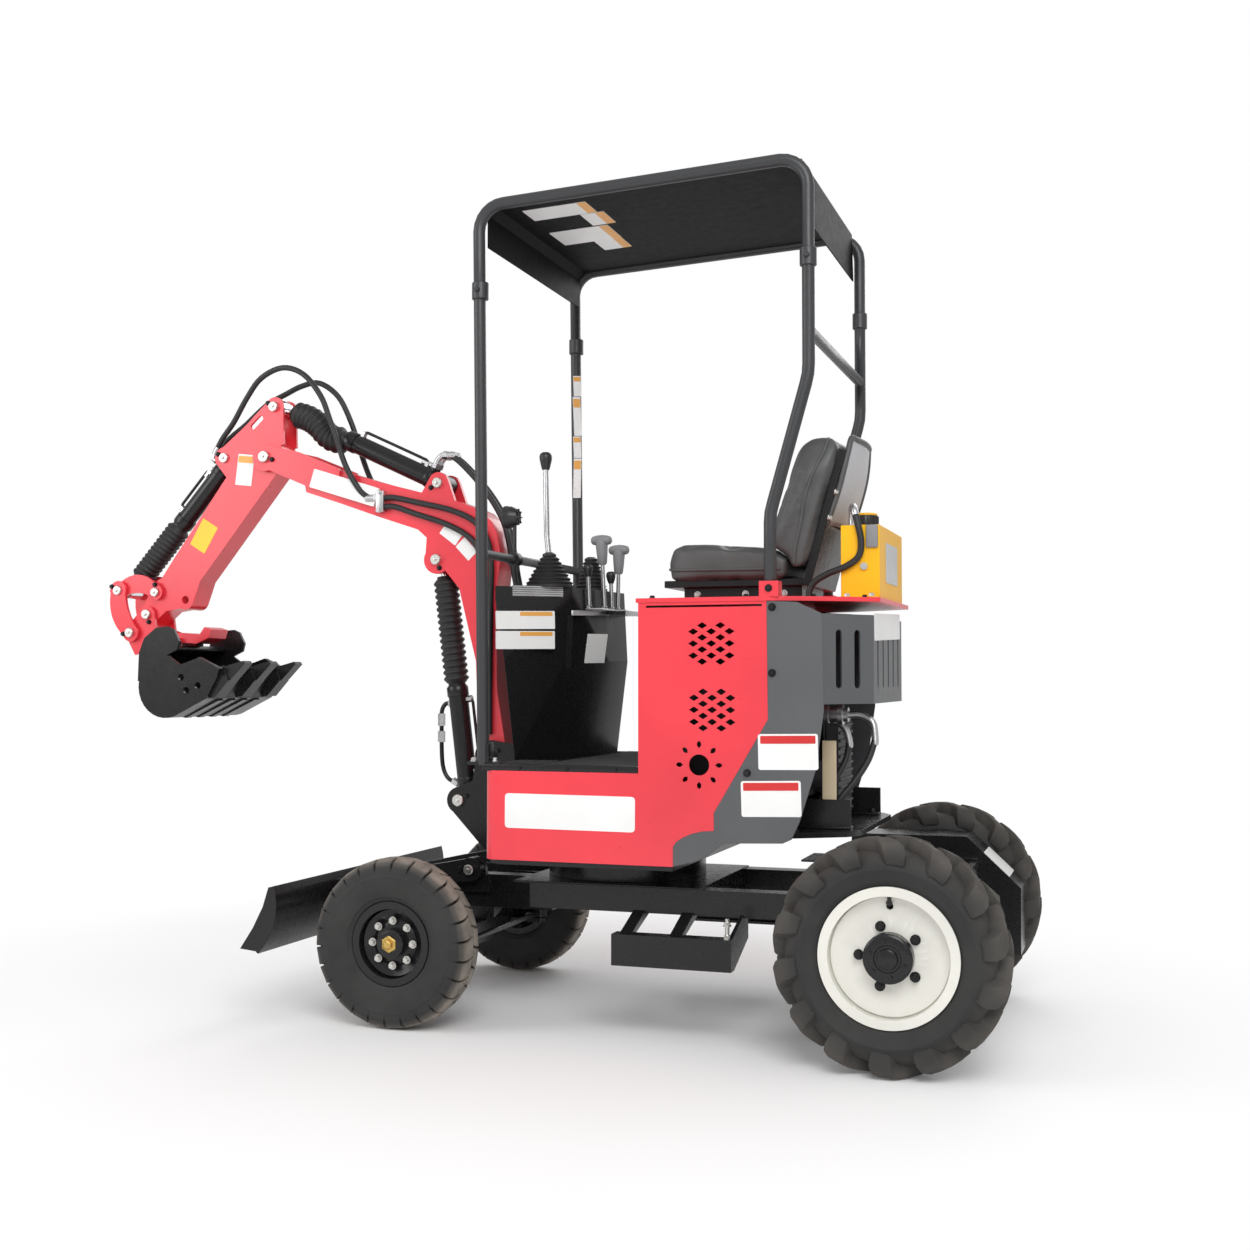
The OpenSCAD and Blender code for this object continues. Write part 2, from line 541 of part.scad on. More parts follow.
module red_panels() color(red) place() sides() {
  difference() {
    plate_y(red_outline, body_y - panel_t, body_y);
    // lattice vents, a round vent and the slot under the deck's edge
    for (v = [[491, 1062], [489, 886]]) for (r = [-3 : 3]) for (c = r % 2 == 0 ? [-1, 0, 1] : [-0.5, 0.5])
      translate([v[0] + 50 * c, 0, v[1] + 16 * r]) plate_y([[14, 0], [0, 9], [-14, 0], [0, -9]], body_y - 20, body_y + 20);
    bar_y([525, 740], 28, body_y - 20, body_y + 20);
    for (a = [0 : 45 : 359]) translate([525, 0, 740]) rotate([0, a, 0]) plate_y([[44, 0], [52, 6.5], [60, 5], [64, 0], [60, -5], [52, -6.5]], body_y - 20, body_y + 20);
    block(353, 673, body_y - 20, body_y + 20, seat_deck_z - 14, seat_deck_z - 8);
  }
  // bent front corner and front panel
  c = [floor_front - corner_r, body_y - corner_r];
  plate_z(concat(arc(c, corner_r, 90, 0, 8), [[floor_front, foot_gap / 2 + foot_t + 8], [floor_front - panel_t, foot_gap / 2 + foot_t + 8]],
    arc(c, corner_r - panel_t, 0, 90, 8)), 468, floor_z - 14);
}
module grey_panels() color(grey) place() sides() plate_y(grey_outline, body_y - panel_t, body_y);

module seat_deck() color(red) place() {
  z = seat_deck_z + seat_deck_t;
  plate_z([[seat_box_x + 6, -body_y - 4], [seat_box_x + 6, body_y + 4], [335, body_y + 4], [252, 372], [66, hood_y + 8], [66, -hood_y - 8], [252, -372], [335, -body_y - 4]],
    seat_deck_z, z);
  // sockets of the canopy's rear posts
  sides() difference() {
    block(308, 360, canopy_y - 24, canopy_y + 20, z - 1, z + 40);
    translate([334, canopy_y, z]) cylinder(r = canopy_tube_d / 2 + 0.3, h = 60);
  }
}

// a slot with round ends, through a plate that faces local X
module slot(w, z0, z1) {
  block(-60, 60, -w / 2, w / 2, z0, z1);
  for (z = [z0, z1]) translate([0, 0, z]) rotate([0, 90, 0]) cylinder(r = w / 2, h = 120, center = true);
}
module rear_hood() color(grey) place() {
  top = seat_deck_z - 35;
  outer = [[259, body_y - panel_t], [194, body_y - panel_t], [hood_x, hood_y], [hood_x, -hood_y], [194, -body_y + panel_t], [259, -body_y + panel_t]];
  inner = [[260, body_y - 9], [198, body_y - 9], [hood_x + 5, hood_y - 4], [hood_x + 5, -hood_y + 4], [198, -body_y + 9], [260, -body_y + 9]];
  difference() {
    plate_z(outer, hood_z, top);
    plate_z(inner, hood_z - 1, top - 5);
    plate_z([[250, -500], [300, -500], [300, 500], [250, 500]], hood_z - 1, top + 1);
    for (y = [-176 : 88 : 176]) translate([hood_x, y, 0]) slot(22, hood_z + 52, top - 52);
    sides() for (s = [0.32, 0.68]) translate([hood_x + (194 - hood_x) * s, hood_y + (body_y - panel_t - hood_y) * s, 0])
      rotate(atan2(body_y - panel_t - hood_y, 194 - hood_x) + 90) slot(22, hood_z + 52, top - 52);
  }
}

module floor_plate() color(black) place()
  block(seat_box_x, floor_front + 6, -body_y + 2, body_y - 2, floor_z - 13, floor_z);

module engine() color(grey) place() {
  block(300, 620, -190, 190, 640, 1010);
  block(360, 560, -120, 120, 1010, 1080);
  for (x = [330, 560]) for (y = [-150, 150]) translate([x, y, 566]) cylinder(r = 22, h = 80);
  // oil filter, radiator and the rear fittings
  translate([240, 90, 700]) rotate([0, 90, 0]) cylinder(r = 40, h = 70);
  block(225, 260, -180, 20, 566, 860);
  block(255, 305, 110, 190, 840, 900);
  translate([172, 150, 870]) rotate([0, 90, 0]) cylinder(r = 20, h = 100);
  translate([186, 150, 870]) rotate([0, 90, 0]) cylinder(r = 28, h = 14, $fn = 6);
}
module engine_hoses() color(rubber) place() {
  sweep(smooth([[171.1, 150, 870], [138, 150, 870], [106, 152, 850], [98, 158, 805], [114, 172, 750], [146, 192, 695], [184, 208, 645], [203, 214, 605], [205, 215, 567]], 4), hose_r, [0, 1, 0], 8);
  sweep(smooth([[254.1, 118, 852], [224, 118, 852], [190, 116, 835], [176, 118, 795], [184, 128, 745], [212, 146, 690], [243, 161, 640], [254, 165, 604], [254, 165, 567]], 4), hose_r, [0, 1, 0], 8);
}

module console() color(black) place() {
  low = [[1147, 180], [1065, 20], [1006, -165], [996, -294], [1147, -294]];
  mid = [[1176, 192], [1050, 30], [972, -150], [962, -298], [1176, -298]];
  top = [[1200, 205], [1118, 128], [1020, 44], [985, -140], [974, -300], [1200, -300]];
  hull() { plate_z(low, floor_z, floor_z + 5); plate_z(mid, 1020, 1024); }
  hull() { plate_z(mid, 1020, 1024); plate_z(top, 1200, 1240); }
  // ledge of the short levers
  block(918, 1000, -290, -150, 1166, 1178);
}

module lever(base, top, r) {
  d = top - base;
  translate(base) rotate([0, acos(d[2] / norm(d)), atan2(d[1], d[0])]) cylinder(r = r, h = norm(d));
}
module levers() color(steel) place() {
  for (q = [[1095, 40], [1038, -170]]) {
    lever([q[0] + 3, q[1], 1341], [q[0] + 25, q[1], 1600], 7);
    translate([q[0] + 25, q[1], 1590]) cylinder(r1 = 16, r2 = 22, h = 54);
  }
  for (q = [[[944, -172, 1178.3], [990, -172, 1398]], [[934, -240, 1178.3], [960, -240, 1374]], [[1024, -76, 1240.3], [1024, -88, 1310]]]) {
    lever(q[0] + [0, 0, 4], q[1], 6);
    translate(q[0]) cylinder(r = 13, h = 12);
    translate(q[1] - [0, 24, 3]) rotate([-90, 0, 0]) cylinder(r = 12, h = 48);
  }
}
module lever_boots() color(rubber) place() for (q = [[1095, 40, 73], [1038, -170, 50]])
  translate([q[0], q[1], 1240]) rotate_extrude() polygon(concat([[0, 0], [q[2], 0], [q[2], 8]],
    [for (i = [0 : 6]) each [[q[2] - 6 - (q[2] - 26) * i / 7, 10 + 12 * i], [q[2] - 2 - (q[2] - 26) * i / 7, 16 + 12 * i]]], [[18, 96], [14, 100], [0, 100]]));

module work_lamp() color(black) place() translate([1162.5, 150, 1320]) {
  // clamp on the cross tube
  difference() {
    bar_y([0, 0], canopy_tube_d / 2 + 4, -14, 14);
    bar_y([0, 0], canopy_tube_d / 2 - 3.8, -20, 20);
  }
  translate([0, 0, canopy_tube_d / 2]) cylinder(r = 6, h = 84);
  translate([-12, 0, 126]) rotate([0, 90, 0]) {
    cylinder(r1 = 22, r2 = 32, h = 22);
    translate([0, 0, 22]) cylinder(r = 32, h = 18);
  }
}

module seat_pan() color(black) place() translate([0, 0, seat_deck_z + seat_deck_t - 1185]) {
  block(300, 640, -150, 150, 1185, 1225);
  plate_y([[270, 1225], [690, 1225], [690, 1245], [290, 1245], [190, 1600], [170, 1595]], -seat_w / 2 + 40, seat_w / 2 - 40);
}
module seat_cushion() color(rubber) place() translate([0, 0, seat_deck_z + seat_deck_t - 1185])
  plate_y([[330, 1245], [690, 1245], [700, 1300], [680, 1345], [560, 1342], [370, 1325], [325, 1300]], -seat_w / 2, seat_w / 2);
// front face of the seat's back plate
function pan_x(z) = 290 - (z - 1245) * 100 / 355;
module seat_back() color(rubber) place() translate([0.3, 0, seat_deck_z + seat_deck_t - 1185])
  plate_y([[pan_x(1262), 1262], [pan_x(1600), 1600], [192, 1630], [206, 1645], [255, 1645], [285, 1620], [375, 1332], [318, 1304], [318, 1262]], -seat_w / 2, seat_w / 2);

module tank() color(yellow) place() {
  z0 = seat_deck_z + seat_deck_t;
  block(76, 182, -tank_w / 2, tank_w / 2, z0, z0 + tank_h);
  translate([130, 100, z0 + tank_h]) cylinder(r = 32, h = 40);
}

// middle of the side tubes' top run
canopy_front_x = 1174;
canopy_rear_x = 229;
function roof_z(x) = canopy_front_z - canopy_tube_d / 2
  + (canopy_rear_z - canopy_front_z) * (canopy_front_x - x) / (canopy_front_x - canopy_rear_x);
module canopy_frame() color(grey) place() {
  r = canopy_tube_d / 2; br = 75;
  sides() {
    y = canopy_y;
    sweep(concat(
      [[1156, y, floor_z]],
      [for (a = [0 : 15 : 90]) [canopy_front_x - br + br * cos(a), y, roof_z(canopy_front_x - br) - br + br * sin(a)]],
      [for (a = [90 : 15 : 180]) [canopy_rear_x + br + br * cos(a), y, roof_z(canopy_rear_x + br) - br + br * sin(a)]],
      [[canopy_rear_x, y, 1795], [canopy_rear_x + 2, y, 1768], [canopy_rear_x + 8, y, 1742], [326, y, 1430], [332, y, 1406], [334, y, 1380], [334, y, seat_deck_z + seat_deck_t]]), r, [0, 1, 0], 16);
    translate([1170, y, 2040]) cylinder(r = r + 6, h = 46);
    translate([canopy_rear_x, y, 2054]) cylinder(r = r + 5, h = 46);
  }
  bar_y([canopy_rear_x, 1885], r - 2, -canopy_y, canopy_y);
  bar_y([1162.5, 1320], r - 4, -canopy_y, canopy_y);
}

module canopy_roof() color(black) place() {
  t = 4; y = canopy_y - canopy_tube_d / 2; x0 = canopy_rear_x + 20; x1 = canopy_front_x - 40;
  plate_y([[x0, roof_z(x0) - t / 2], [x0, roof_z(x0) + t / 2], [x1, roof_z(x1) + t / 2], [x1, roof_z(x1) - t / 2]], -y, y);
  plate_y([[x1 - 1, roof_z(x1) + t / 2], [x1 + 22, roof_z(x1) - 26], [x1 + 22, 2190], [x1 + 18, 2190], [x1 + 18, roof_z(x1) - 26], [x1 - 3, roof_z(x1) - t / 2]], -y, y);
  plate_y([[x0 + 3, roof_z(x0) + t / 2 - 1], [x0, roof_z(x0) + t / 2 - 1], [x0 - 4, 2200], [x0, 2200]], -y, y);
}

boom_outline = concat(arc(O, 46, 170, 360, 12), [[1328, 934], [1332, 1022], [1352, 1101], [1389, 1245]], arc(CB, 44, -130, 30, 10),
  [[1500, 1404], [1530, 1430], [1662, 1473], [1803, 1522], [1925, 1562], [1950, 1676],
  [1804, 1627], [1662, 1583], [1523, 1546], [1420, 1521], [1353, 1497], [1315, 1480], [1283, 1448], [1264, 1410], [1255, 1365], [1253, 1328], [1266, 1207], [1262, 934]]);

module boom() color(red) place() {
  w = boom_w / 2;
  difference() {
    plate_y(boom_outline, -w, w);
    bar_y(O, foot_pin_d / 2 + play, -w - 1, w + 1);
    // room for the boom cylinder's eye
    bar_y(CB, 78, -lug_in, lug_in);
    bar_y(CB, pin_r, -w - 1, w + 1);
  }
  sides() {
    // cheeks that hold the dipper
    difference() {
      plate_y(concat([[1800, 1545], [1900, 1572]], arc(Q, 46, 250, 430, 12), [[1948, 1690], [1800, 1630]]), w, w + cheek_t);
      bar_y(Q, pin_r + play, 0, 100);
    }
    // lug of the arm cylinder
    plate_y(concat([[1400, 1500], [1520, 1540]], arc(CD, 34, 20, 160, 8)), lug_in, w);
    // stub pins of the boom cylinder's head
    bar_y(CB, pin_r, lug_in + 3, w + 8);
  }
  bar_y(CD, 15, -w - 4, w + 4);
  // clamps of the hoses
  sides() block(1640, 1664, w - 1, w + 22, 1488, 1552);
}

dipper_outline = concat(arc(Q, 60, 230, 130, 8), [[2060, 1760], [2160, 1745], [2212, 1640], [2426, 1358], [2468, 1300]],
  arc(P2, 36, 60, -10, 5), arc(P3, 34, 20, -120, 8), [[2450, 1190]], arc(THUMB, 32, -60, -150, 6), [[2321, 1286]]);
module dipper() color(red) place() {
  w = dipper_w / 2;
  difference() {
    union() {
      plate_y(dipper_outline, -w, w);
      sides() difference() {
        plate_y(concat(arc(CE, 32, 170, 60, 6), [[2153, 1789]], arc(CG, 36, 80, -20, 6), [[2215, 1610], [2100, 1700], [2012, 1720]]), lug_in, w);
        // oval hole
        for (d = [-14 : 4 : 14]) bar_y([2112 + d, 1796 - 0.9 * d], 9, 0, 100);
      }
      sides() bar_y(Q, 40, w - 2, w + 1.5);
    }
    bar_y(P3, 16 + play, -w - 1, w + 1);
    bar_y(THUMB, 13, -w - 1, w + 1);
    bar_y(CE, pin_r, -w - 1, w + 1);
    // inside of the box, open to the thumb lug
    plate_y([[2120, 1620], [2190, 1600], [2400, 1335], [2330, 1330]], -w + 8, w - 8);
  }
  bar_y(CG, 15, -w - 8, w + 8);
  bar_y(Q, pin_r, -boom_w / 2 - cheek_t - 8, boom_w / 2 + cheek_t + 8);
  sides() {
    bar_y(CE, pin_r, lug_in + 2, w + 8);
    bar_y(P2, 14, w - 2, w + 18);
  }
}

bucket_outer = concat([[2384, 1072], [2430, 1054], [2449, 1020], [2450, 960]], arc([2346, 944], 101, 10, -110, 10), [[2195, 905], [2140, 1000]]);
module bucket() color(black) place() {
  w = bucket_w / 2; t = bucket_t;
  side = concat([[2384, 1130], [2428, 1097], [2447, 1050], [2450, 960]], arc([2346, 944], 101, 10, -110, 10),
    [[2195, 905], [2140, 1000], [2218, 1036], [2292, 1012], [2341, 1043], [2304, 1060], [2297, 1088], [2316, 1124], [2340, 1134]]);
  shell = concat(bucket_outer, [[2151, 1006], [2203, 918]], arc([2346, 944], 101 - t, -110, 10, 10), [[2450 - t, 1017], [2424, 1045], [2381, 1062]]);
  sides() difference() {
    plate_y(side, w - t, w);
    for (p = [[2288, 972], [2268, 931], [2226, 946]]) bar_y(p, 11, 0, 300);
  }
  plate_y(shell, -w + 1, w - 1);
  // rolled top edge
  bar_y([2376, 1066], 10, -w + 1, w - 1);
  // ears for the coupler
  sides() plate_y([[2382, 1064], [2440, 1036], [2470, 1072], [2472, 1092], [2430, 1110], [2384, 1100]], 57, 69);
  // wear strips under the belly
  for (y = [-105, -35, 35, 105]) translate([0, y, 0]) plate_y([[2340, 846], [2318, 842], [2196, 898], [2204, 908]], -14, 14);
  // teeth on their holders
  for (i = [0 : tooth_count - 1]) translate([0, -w + 40 + i * (bucket_w - 80) / (tooth_count - 1), 0]) {
    plate_y([[2212, 906], [2170, 910], [2122, 962], [2138, 996], [2160, 990]], -28, 28);
    plate_y([[2150, 1004], [2074, 1024], [2066, 1016], [2116, 966], [2150, 940]], -22, 22);
  }
  // side cutters
  sides() plate_y([[2218, 1036], [2140, 1000], [2150, 978], [2236, 1018]], w - 1, w + 10);
}

module coupler() color(red) place() {
  body = concat(arc(P3, 28, 170, 40, 6), arc(P4, 30, 50, -40, 6), [[2561, 1046], [2520, 1060], [2480, 1076], [2474, 1072], [2440, 1062], [2390, 1084], [2384, 1100], [2430, 1112], [2480, 1130]]);
  sides() difference() {
    plate_y(body, 47, 57);
    bar_y(P4, 14, 40, 70);
  }
  bar_y(P3, 16, -59, 59);
  // body between the plates, with its rear hook
  plate_y([[2530, 1076], [2480, 1080], [2442, 1066], [2386, 1086], [2330, 1082], [2284, 1100], [2274, 1128], [2300, 1136], [2318, 1112], [2384, 1118], [2452, 1116], [2520, 1108]], -49, 49);
}

// points of a bow from p to q that stands off the straight line by h
function bow(p, q, h, n = 8) = let (d = unit(q - p), s = [-d[1], d[0]])
  [for (i = [1 : n - 1]) let (t = i / n) p + (q - p) * t + 4 * h * t * (1 - t) * s];

module rocker() color(red) place() {
  sides() {
    difference() {
      plate_y(concat(arc(P1, 26, -90, 80, 10), bow(P1 + [4, 26], P2 + [-4, 26], -30), arc(P2, 26, 100, 270, 10), bow(P2 + [0, -26], P1 + [0, -26], 22)), 47, 59);
      bar_y(P2, 14 + play, 40, 70);
    }
    bar_y(P1, 13, 49, 76);
  }
  // tie between the plates
  bar_y((P1 + 2 * P2) / 3 + [14, 6], 11, -49, 49);
}

module bucket_link() color(red) place() sides() {
  difference() {
    plate_y(concat(arc(P1, link_eye_r, 160, -20, 10), bow(P1 + [30, -10], P4 + [28, -10], 20), arc(P4, 30, -20, -200, 10), bow(P4 + [-28, 10], P1 + [-30, 10], -16)), 61, 73);
    bar_y(P1, 13 + play, 50, 90);
  }
  bar_y(P4, 14, 73, 80);
}

// runs along the boom: two on its left, one on its right
module boom_hoses() color(rubber) place() {
  y = boom_w / 2 + hose_r + 0.3;
  hi = [[1282, 800], [1282, 1000], [1280, 1200], [1278, 1320], [1294, 1396], [1338, 1450], [1416, 1486], [1523, 1512], [1606, 1531], [1638.9, 1531]];
  lo = [[1306, 800], [1306, 1000], [1304, 1200], [1304, 1304], [1328, 1374], [1372, 1414], [1443, 1448], [1540, 1480], [1606, 1503], [1638.9, 1503]];
  sides() sweep(smooth([for (q = hi) [q[0], y, q[1]]], 3), hose_r, [0, 1, 0], 8);
  sweep(smooth([for (q = lo) [q[0], y, q[1]]], 3), hose_r, [0, 1, 0], 8);
}
// one loop on each side, from the boom to the base of the bucket's cylinder
module loop_hoses() color(rubber) place() {
  y = boom_w / 2 + hose_r + 0.3;
  sweep(smooth([[1665.4, y, 1532], [1688, y, 1532], [1722, y + 2, 1554], [1752, y + 8, 1598], [1778, y + 12, 1650], [1804, y + 12, 1720], [1832, y + 10, 1790], [1866, y + 6, 1864], [1932, y, 1938],
    [2018, 44, 1968], [2105, 32, 1942], [2163, 24, 1882], [2216, 18, 1806], [2264, 14, 1750], [2295, 13, 1693.6]], 3), hose_r, [0, 1, 0], 8);
  sweep(smooth([[1665.4, -y, 1532], [1688, -y, 1532], [1722, -y - 2, 1554], [1752, -y - 8, 1598], [1778, -y - 12, 1650], [1804, -y - 12, 1720], [1832, -y - 10, 1800], [1877, -y - 6, 1885], [1945, -y - 4, 1933],
    [2010, -64, 1928], [2070, -66, 1906], [2140, -60, 1872], [2204, -36, 1806], [2264, -16, 1750], [2295, -13, 1693.6]], 3), hose_r, [0, 1, 0], 8);
}
// hoses of the arm cylinder, over the knee and down to the console
module knee_hoses() color(rubber) place() for (y = [-14, 14])
  sweep(smooth([[1487.6, y, 1630.9], [1479.4, y, 1648.6], [1464, y, 1662], [1442, y, 1662], [1408, y, 1642], [1350, y, 1584], [1296, y, 1516], [1254, y, 1440], [1232, y, 1350], [1222, y, 1290], [1214, y, 1250], [1209.4, y, 1215]], 3), hose_r, [0, 1, 0], 8);
module tank_hose() color(rubber) place() {
  z = seat_deck_z + seat_deck_t; y = tank_w / 2 + hose_r + 0.4;
  sweep(smooth([[158, 152, z + tank_h + 0.7], [158, 152, z + tank_h + 26], [155, 166, z + tank_h + 52], [146, y - 14, z + tank_h + 44], [134, y, z + tank_h + 6], [124, y + 1, z + 152],
    [132, y + 1, z + 112], [168, y + 1, z + 86], [216, y + 1, z + 68], [252, y + 1, z + 46], [266, y + 1, z + 22], [267, y + 1, z + 0.7]], 4), hose_r, [1, 1, 0], 8);
}

chassis_frame();
slew_ring();
rear_axle();
front_axle();
mudguards();
left_knuckle();
right_knuckle();
tie_rod();
rear_left_tyre();
rear_right_tyre();
front_left_tyre();
front_right_tyre();
rear_left_rim();
rear_right_rim();
front_left_rim();
front_right_rim();
blade();
blade_barrel();
blade_rod();
platform_frame();
red_panels();
grey_panels();
seat_deck();
rear_hood();
floor_plate();
engine();
console();
levers();
lever_boots();
work_lamp();
seat_pan();
seat_cushion();
seat_back();
tank();
canopy_frame();
canopy_roof();
boom();
boom_barrel();
boom_rod();
boom_bellows();
dipper();
arm_barrel();
arm_rod();
arm_bellows();
bucket();
coupler();
rocker();
bucket_link();
bucket_barrel();
bucket_rod();
bucket_bellows();
boom_hoses();
loop_hoses();
knee_hoses();
tank_hose();
engine_hoses();
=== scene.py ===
import math

import bmesh
import bpy
from mathutils import Matrix, Vector
from mathutils.bvhtree import BVHTree


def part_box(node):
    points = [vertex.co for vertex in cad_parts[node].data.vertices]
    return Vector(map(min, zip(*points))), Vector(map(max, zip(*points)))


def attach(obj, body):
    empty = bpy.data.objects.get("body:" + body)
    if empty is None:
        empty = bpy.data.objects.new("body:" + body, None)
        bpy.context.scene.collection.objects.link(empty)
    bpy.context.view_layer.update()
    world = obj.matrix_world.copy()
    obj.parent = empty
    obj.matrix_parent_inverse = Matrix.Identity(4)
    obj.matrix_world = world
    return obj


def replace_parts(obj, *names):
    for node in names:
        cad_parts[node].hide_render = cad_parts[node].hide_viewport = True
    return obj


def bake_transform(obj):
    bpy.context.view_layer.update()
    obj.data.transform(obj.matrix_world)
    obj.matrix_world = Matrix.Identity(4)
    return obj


bpy.ops.wm.read_factory_settings(use_empty=True)
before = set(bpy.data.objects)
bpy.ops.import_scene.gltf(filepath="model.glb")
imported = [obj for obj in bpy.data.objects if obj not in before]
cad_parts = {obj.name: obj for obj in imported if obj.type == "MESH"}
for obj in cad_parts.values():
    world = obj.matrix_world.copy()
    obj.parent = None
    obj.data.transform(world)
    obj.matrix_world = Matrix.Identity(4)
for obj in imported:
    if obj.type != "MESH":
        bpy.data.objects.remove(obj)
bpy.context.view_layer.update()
scene = bpy.context.scene
scene.view_settings.view_transform = "Standard"
X_AXIS, Y_AXIS, Z_AXIS = Vector((1, 0, 0)), Vector((0, 1, 0)), Vector((0, 0, 1))
BOTH = (1, -1)  # the left and the right side
BSDF = "Principled BSDF"
WHITE = (1, 1, 1, 1)

# The studio: a pale floor that runs out to white, and a white room that lights the machine
# softly from all round, with broad lamps over the near side, the front and the back.


def node(tree, kind, inputs=(), **settings):
    """a new shader node; inputs pairs its sockets with a value or another node's output"""
    made = tree.nodes.new("ShaderNode" + kind)
    for key, value in settings.items():
        setattr(made, key, value)
    for socket, value in inputs:
        if isinstance(value, bpy.types.NodeSocket):
            tree.links.new(value, made.inputs[socket])
        else:
            made.inputs[socket].default_value = value
    return made


def looks_white(tree):
    """1 for the rays that look at the background straight on or through a clear surface"""
    ray = node(tree, "LightPath").outputs
    return node(tree, "Math", ((0, ray["Is Camera Ray"]), (1, ray["Is Transmission Ray"])),
                operation="MAXIMUM").outputs[0]


world = bpy.data.worlds.new("studio")
scene.world = world
world.use_nodes = True
room = world.node_tree
room.nodes.clear()
fill = node(room, "Background", (("Color", WHITE), ("Strength", 0.62)))
white = node(room, "Background", (("Color", WHITE), ("Strength", 1.0)))
choose = node(room, "MixShader", ((0, looks_white(room)), (1, fill.outputs[0]), (2, white.outputs[0])))
node(room, "OutputWorld", (("Surface", choose.outputs[0]),))


def lamp(name, place, aim, size, power):
    """a square lamp of a size in metres and a power in watts"""
    data = bpy.data.lights.new(name, "AREA")
    data.shape = "SQUARE"
    data.size = size
    data.energy = power
    obj = bpy.data.objects.new(name, data)
    scene.collection.objects.link(obj)
    obj.location = place
    obj.rotation_euler = (Vector(aim) - Vector(place)).to_track_quat("-Z", "Y").to_euler()


lamp("key_lamp", (-2.4, 4.4, 4.2), (0, 0, 0.9), 3.0, 170)
lamp("front_lamp", (3.6, 3.0, 2.6), (0.4, 0, 0.9), 2.4, 60)
lamp("back_lamp", (-1.0, -4.0, 3.6), (0, 0, 1.0), 3.0, 70)

floor_mesh = bpy.data.meshes.new("floor")
bm = bmesh.new()
bmesh.ops.create_grid(bm, x_segments=1, y_segments=1, size=40)
bm.to_mesh(floor_mesh)
bm.free()
floor = bpy.data.objects.new("floor", floor_mesh)
scene.collection.objects.link(floor)
floor.location.z = -0.0005
pale = bpy.data.materials.new("pale_floor")
pale.use_nodes = True
tree = pale.node_tree
paint = tree.nodes[BSDF]
for socket, value in (("Base Color", (0.93, 0.93, 0.93, 1)), ("Roughness", 0.9), ("Specular IOR Level", 0.1)):
    paint.inputs[socket].default_value = value
reach = node(tree, "VectorMath", ((0, node(tree, "TexCoord").outputs["Object"]),), operation="LENGTH")
fade = node(tree, "MapRange", (("From Min", 1.1), ("From Max", 2.6), ("Value", reach.outputs["Value"])),
            interpolation_type="SMOOTHSTEP")
far = node(tree, "Math", ((0, fade.outputs["Result"]), (1, looks_white(tree))), operation="MULTIPLY")
glow = node(tree, "Emission", (("Color", WHITE), ("Strength", 1.0)))
run_out = node(tree, "MixShader", ((0, far.outputs[0]), (1, paint.outputs[0]), (2, glow.outputs[0])))
tree.links.new(run_out.outputs[0], tree.nodes["Material Output"].inputs["Surface"])
floor.data.materials.append(pale)

# The camera stands behind and to the left of the machine, at the height of its floor plate.
REAR_AXLE_X = -1.1795
LENS, SENSOR, FRAME_PX = 43.66, 36.0, 1250
YAW, PITCH = math.radians(18.85), math.radians(1.98)
cam_data = bpy.data.cameras.new("camera")
cam_data.sensor_width = SENSOR
cam_data.lens = LENS
cam = bpy.data.objects.new("camera", cam_data)
scene.collection.objects.link(cam)
cam.location = (-0.591 + REAR_AXLE_X, 4.276, 0.972)
ahead = Vector((math.sin(YAW) * math.cos(PITCH), -math.cos(YAW) * math.cos(PITCH), math.sin(PITCH)))
cam.rotation_euler = ahead.to_track_quat("-Z", "Y").to_euler()
scene.camera = cam

# The hoses: black rubber over wire braid, all 18 mm thick. Each runs on the route its solid has
# and ends in a crimped steel fitting; where it turns sharply the turn is a bent steel pipe.
HOSE_R = 9


def at(x, y, z):
    """a point given in millimetres from the ground under the rear axle"""
    return Vector((x / 1000 + REAR_AXLE_X, y / 1000, z / 1000))


def around(angle):
    """the way from a wheel's centre at an angle from straight up"""
    return Vector((math.sin(angle), 0, math.cos(angle)))


def finish(name, dark, light, rough, bump, metal=0.0, tone_scale=4.0, rough_scale=40.0):
    """a surface that drifts between two tones and two roughnesses; bump is a noise's scale and strength"""
    m = bpy.data.materials.new(name)
    m.use_nodes = True
    tree = m.node_tree
    base = tree.nodes[BSDF].inputs
    spot = node(tree, "TexCoord").outputs["Object"]
    tone = node(tree, "TexNoise", (("Scale", tone_scale), ("Detail", 5.0), ("Vector", spot)))
    ramp = node(tree, "ValToRGB", (("Fac", tone.outputs["Fac"]),))
    for stop, colour, place in zip(ramp.color_ramp.elements, (dark, light), (0.3, 0.72)):
        stop.color = (*colour, 1)
        stop.position = place
    uneven = node(tree, "TexNoise", (("Scale", rough_scale), ("Detail", 5.0), ("Vector", spot)))
    gloss = node(tree, "MapRange", (("To Min", rough[0]), ("To Max", rough[1]),
                                    ("Value", uneven.outputs["Fac"])))
    noise = node(tree, "TexNoise", (("Scale", bump[0]), ("Detail", 2.0), ("Vector", spot)))
    relief = node(tree, "Bump", (("Strength", bump[1]), ("Distance", 0.001), ("Height", noise.outputs["Fac"])))
    tree.links.new(ramp.outputs["Color"], base["Base Color"])
    tree.links.new(gloss.outputs["Result"], base["Roughness"])
    tree.links.new(relief.outputs["Normal"], base["Normal"])
    base["Metallic"].default_value = metal
    return m


hose_rubber = finish("hose_rubber", (0.010, 0.010, 0.011), (0.020, 0.020, 0.021), (0.38, 0.60), (420, 0.25))
plated_steel = finish("plated_steel", (0.50, 0.50, 0.51), (0.66, 0.66, 0.67), (0.22, 0.42), (600, 0.08), 1.0)


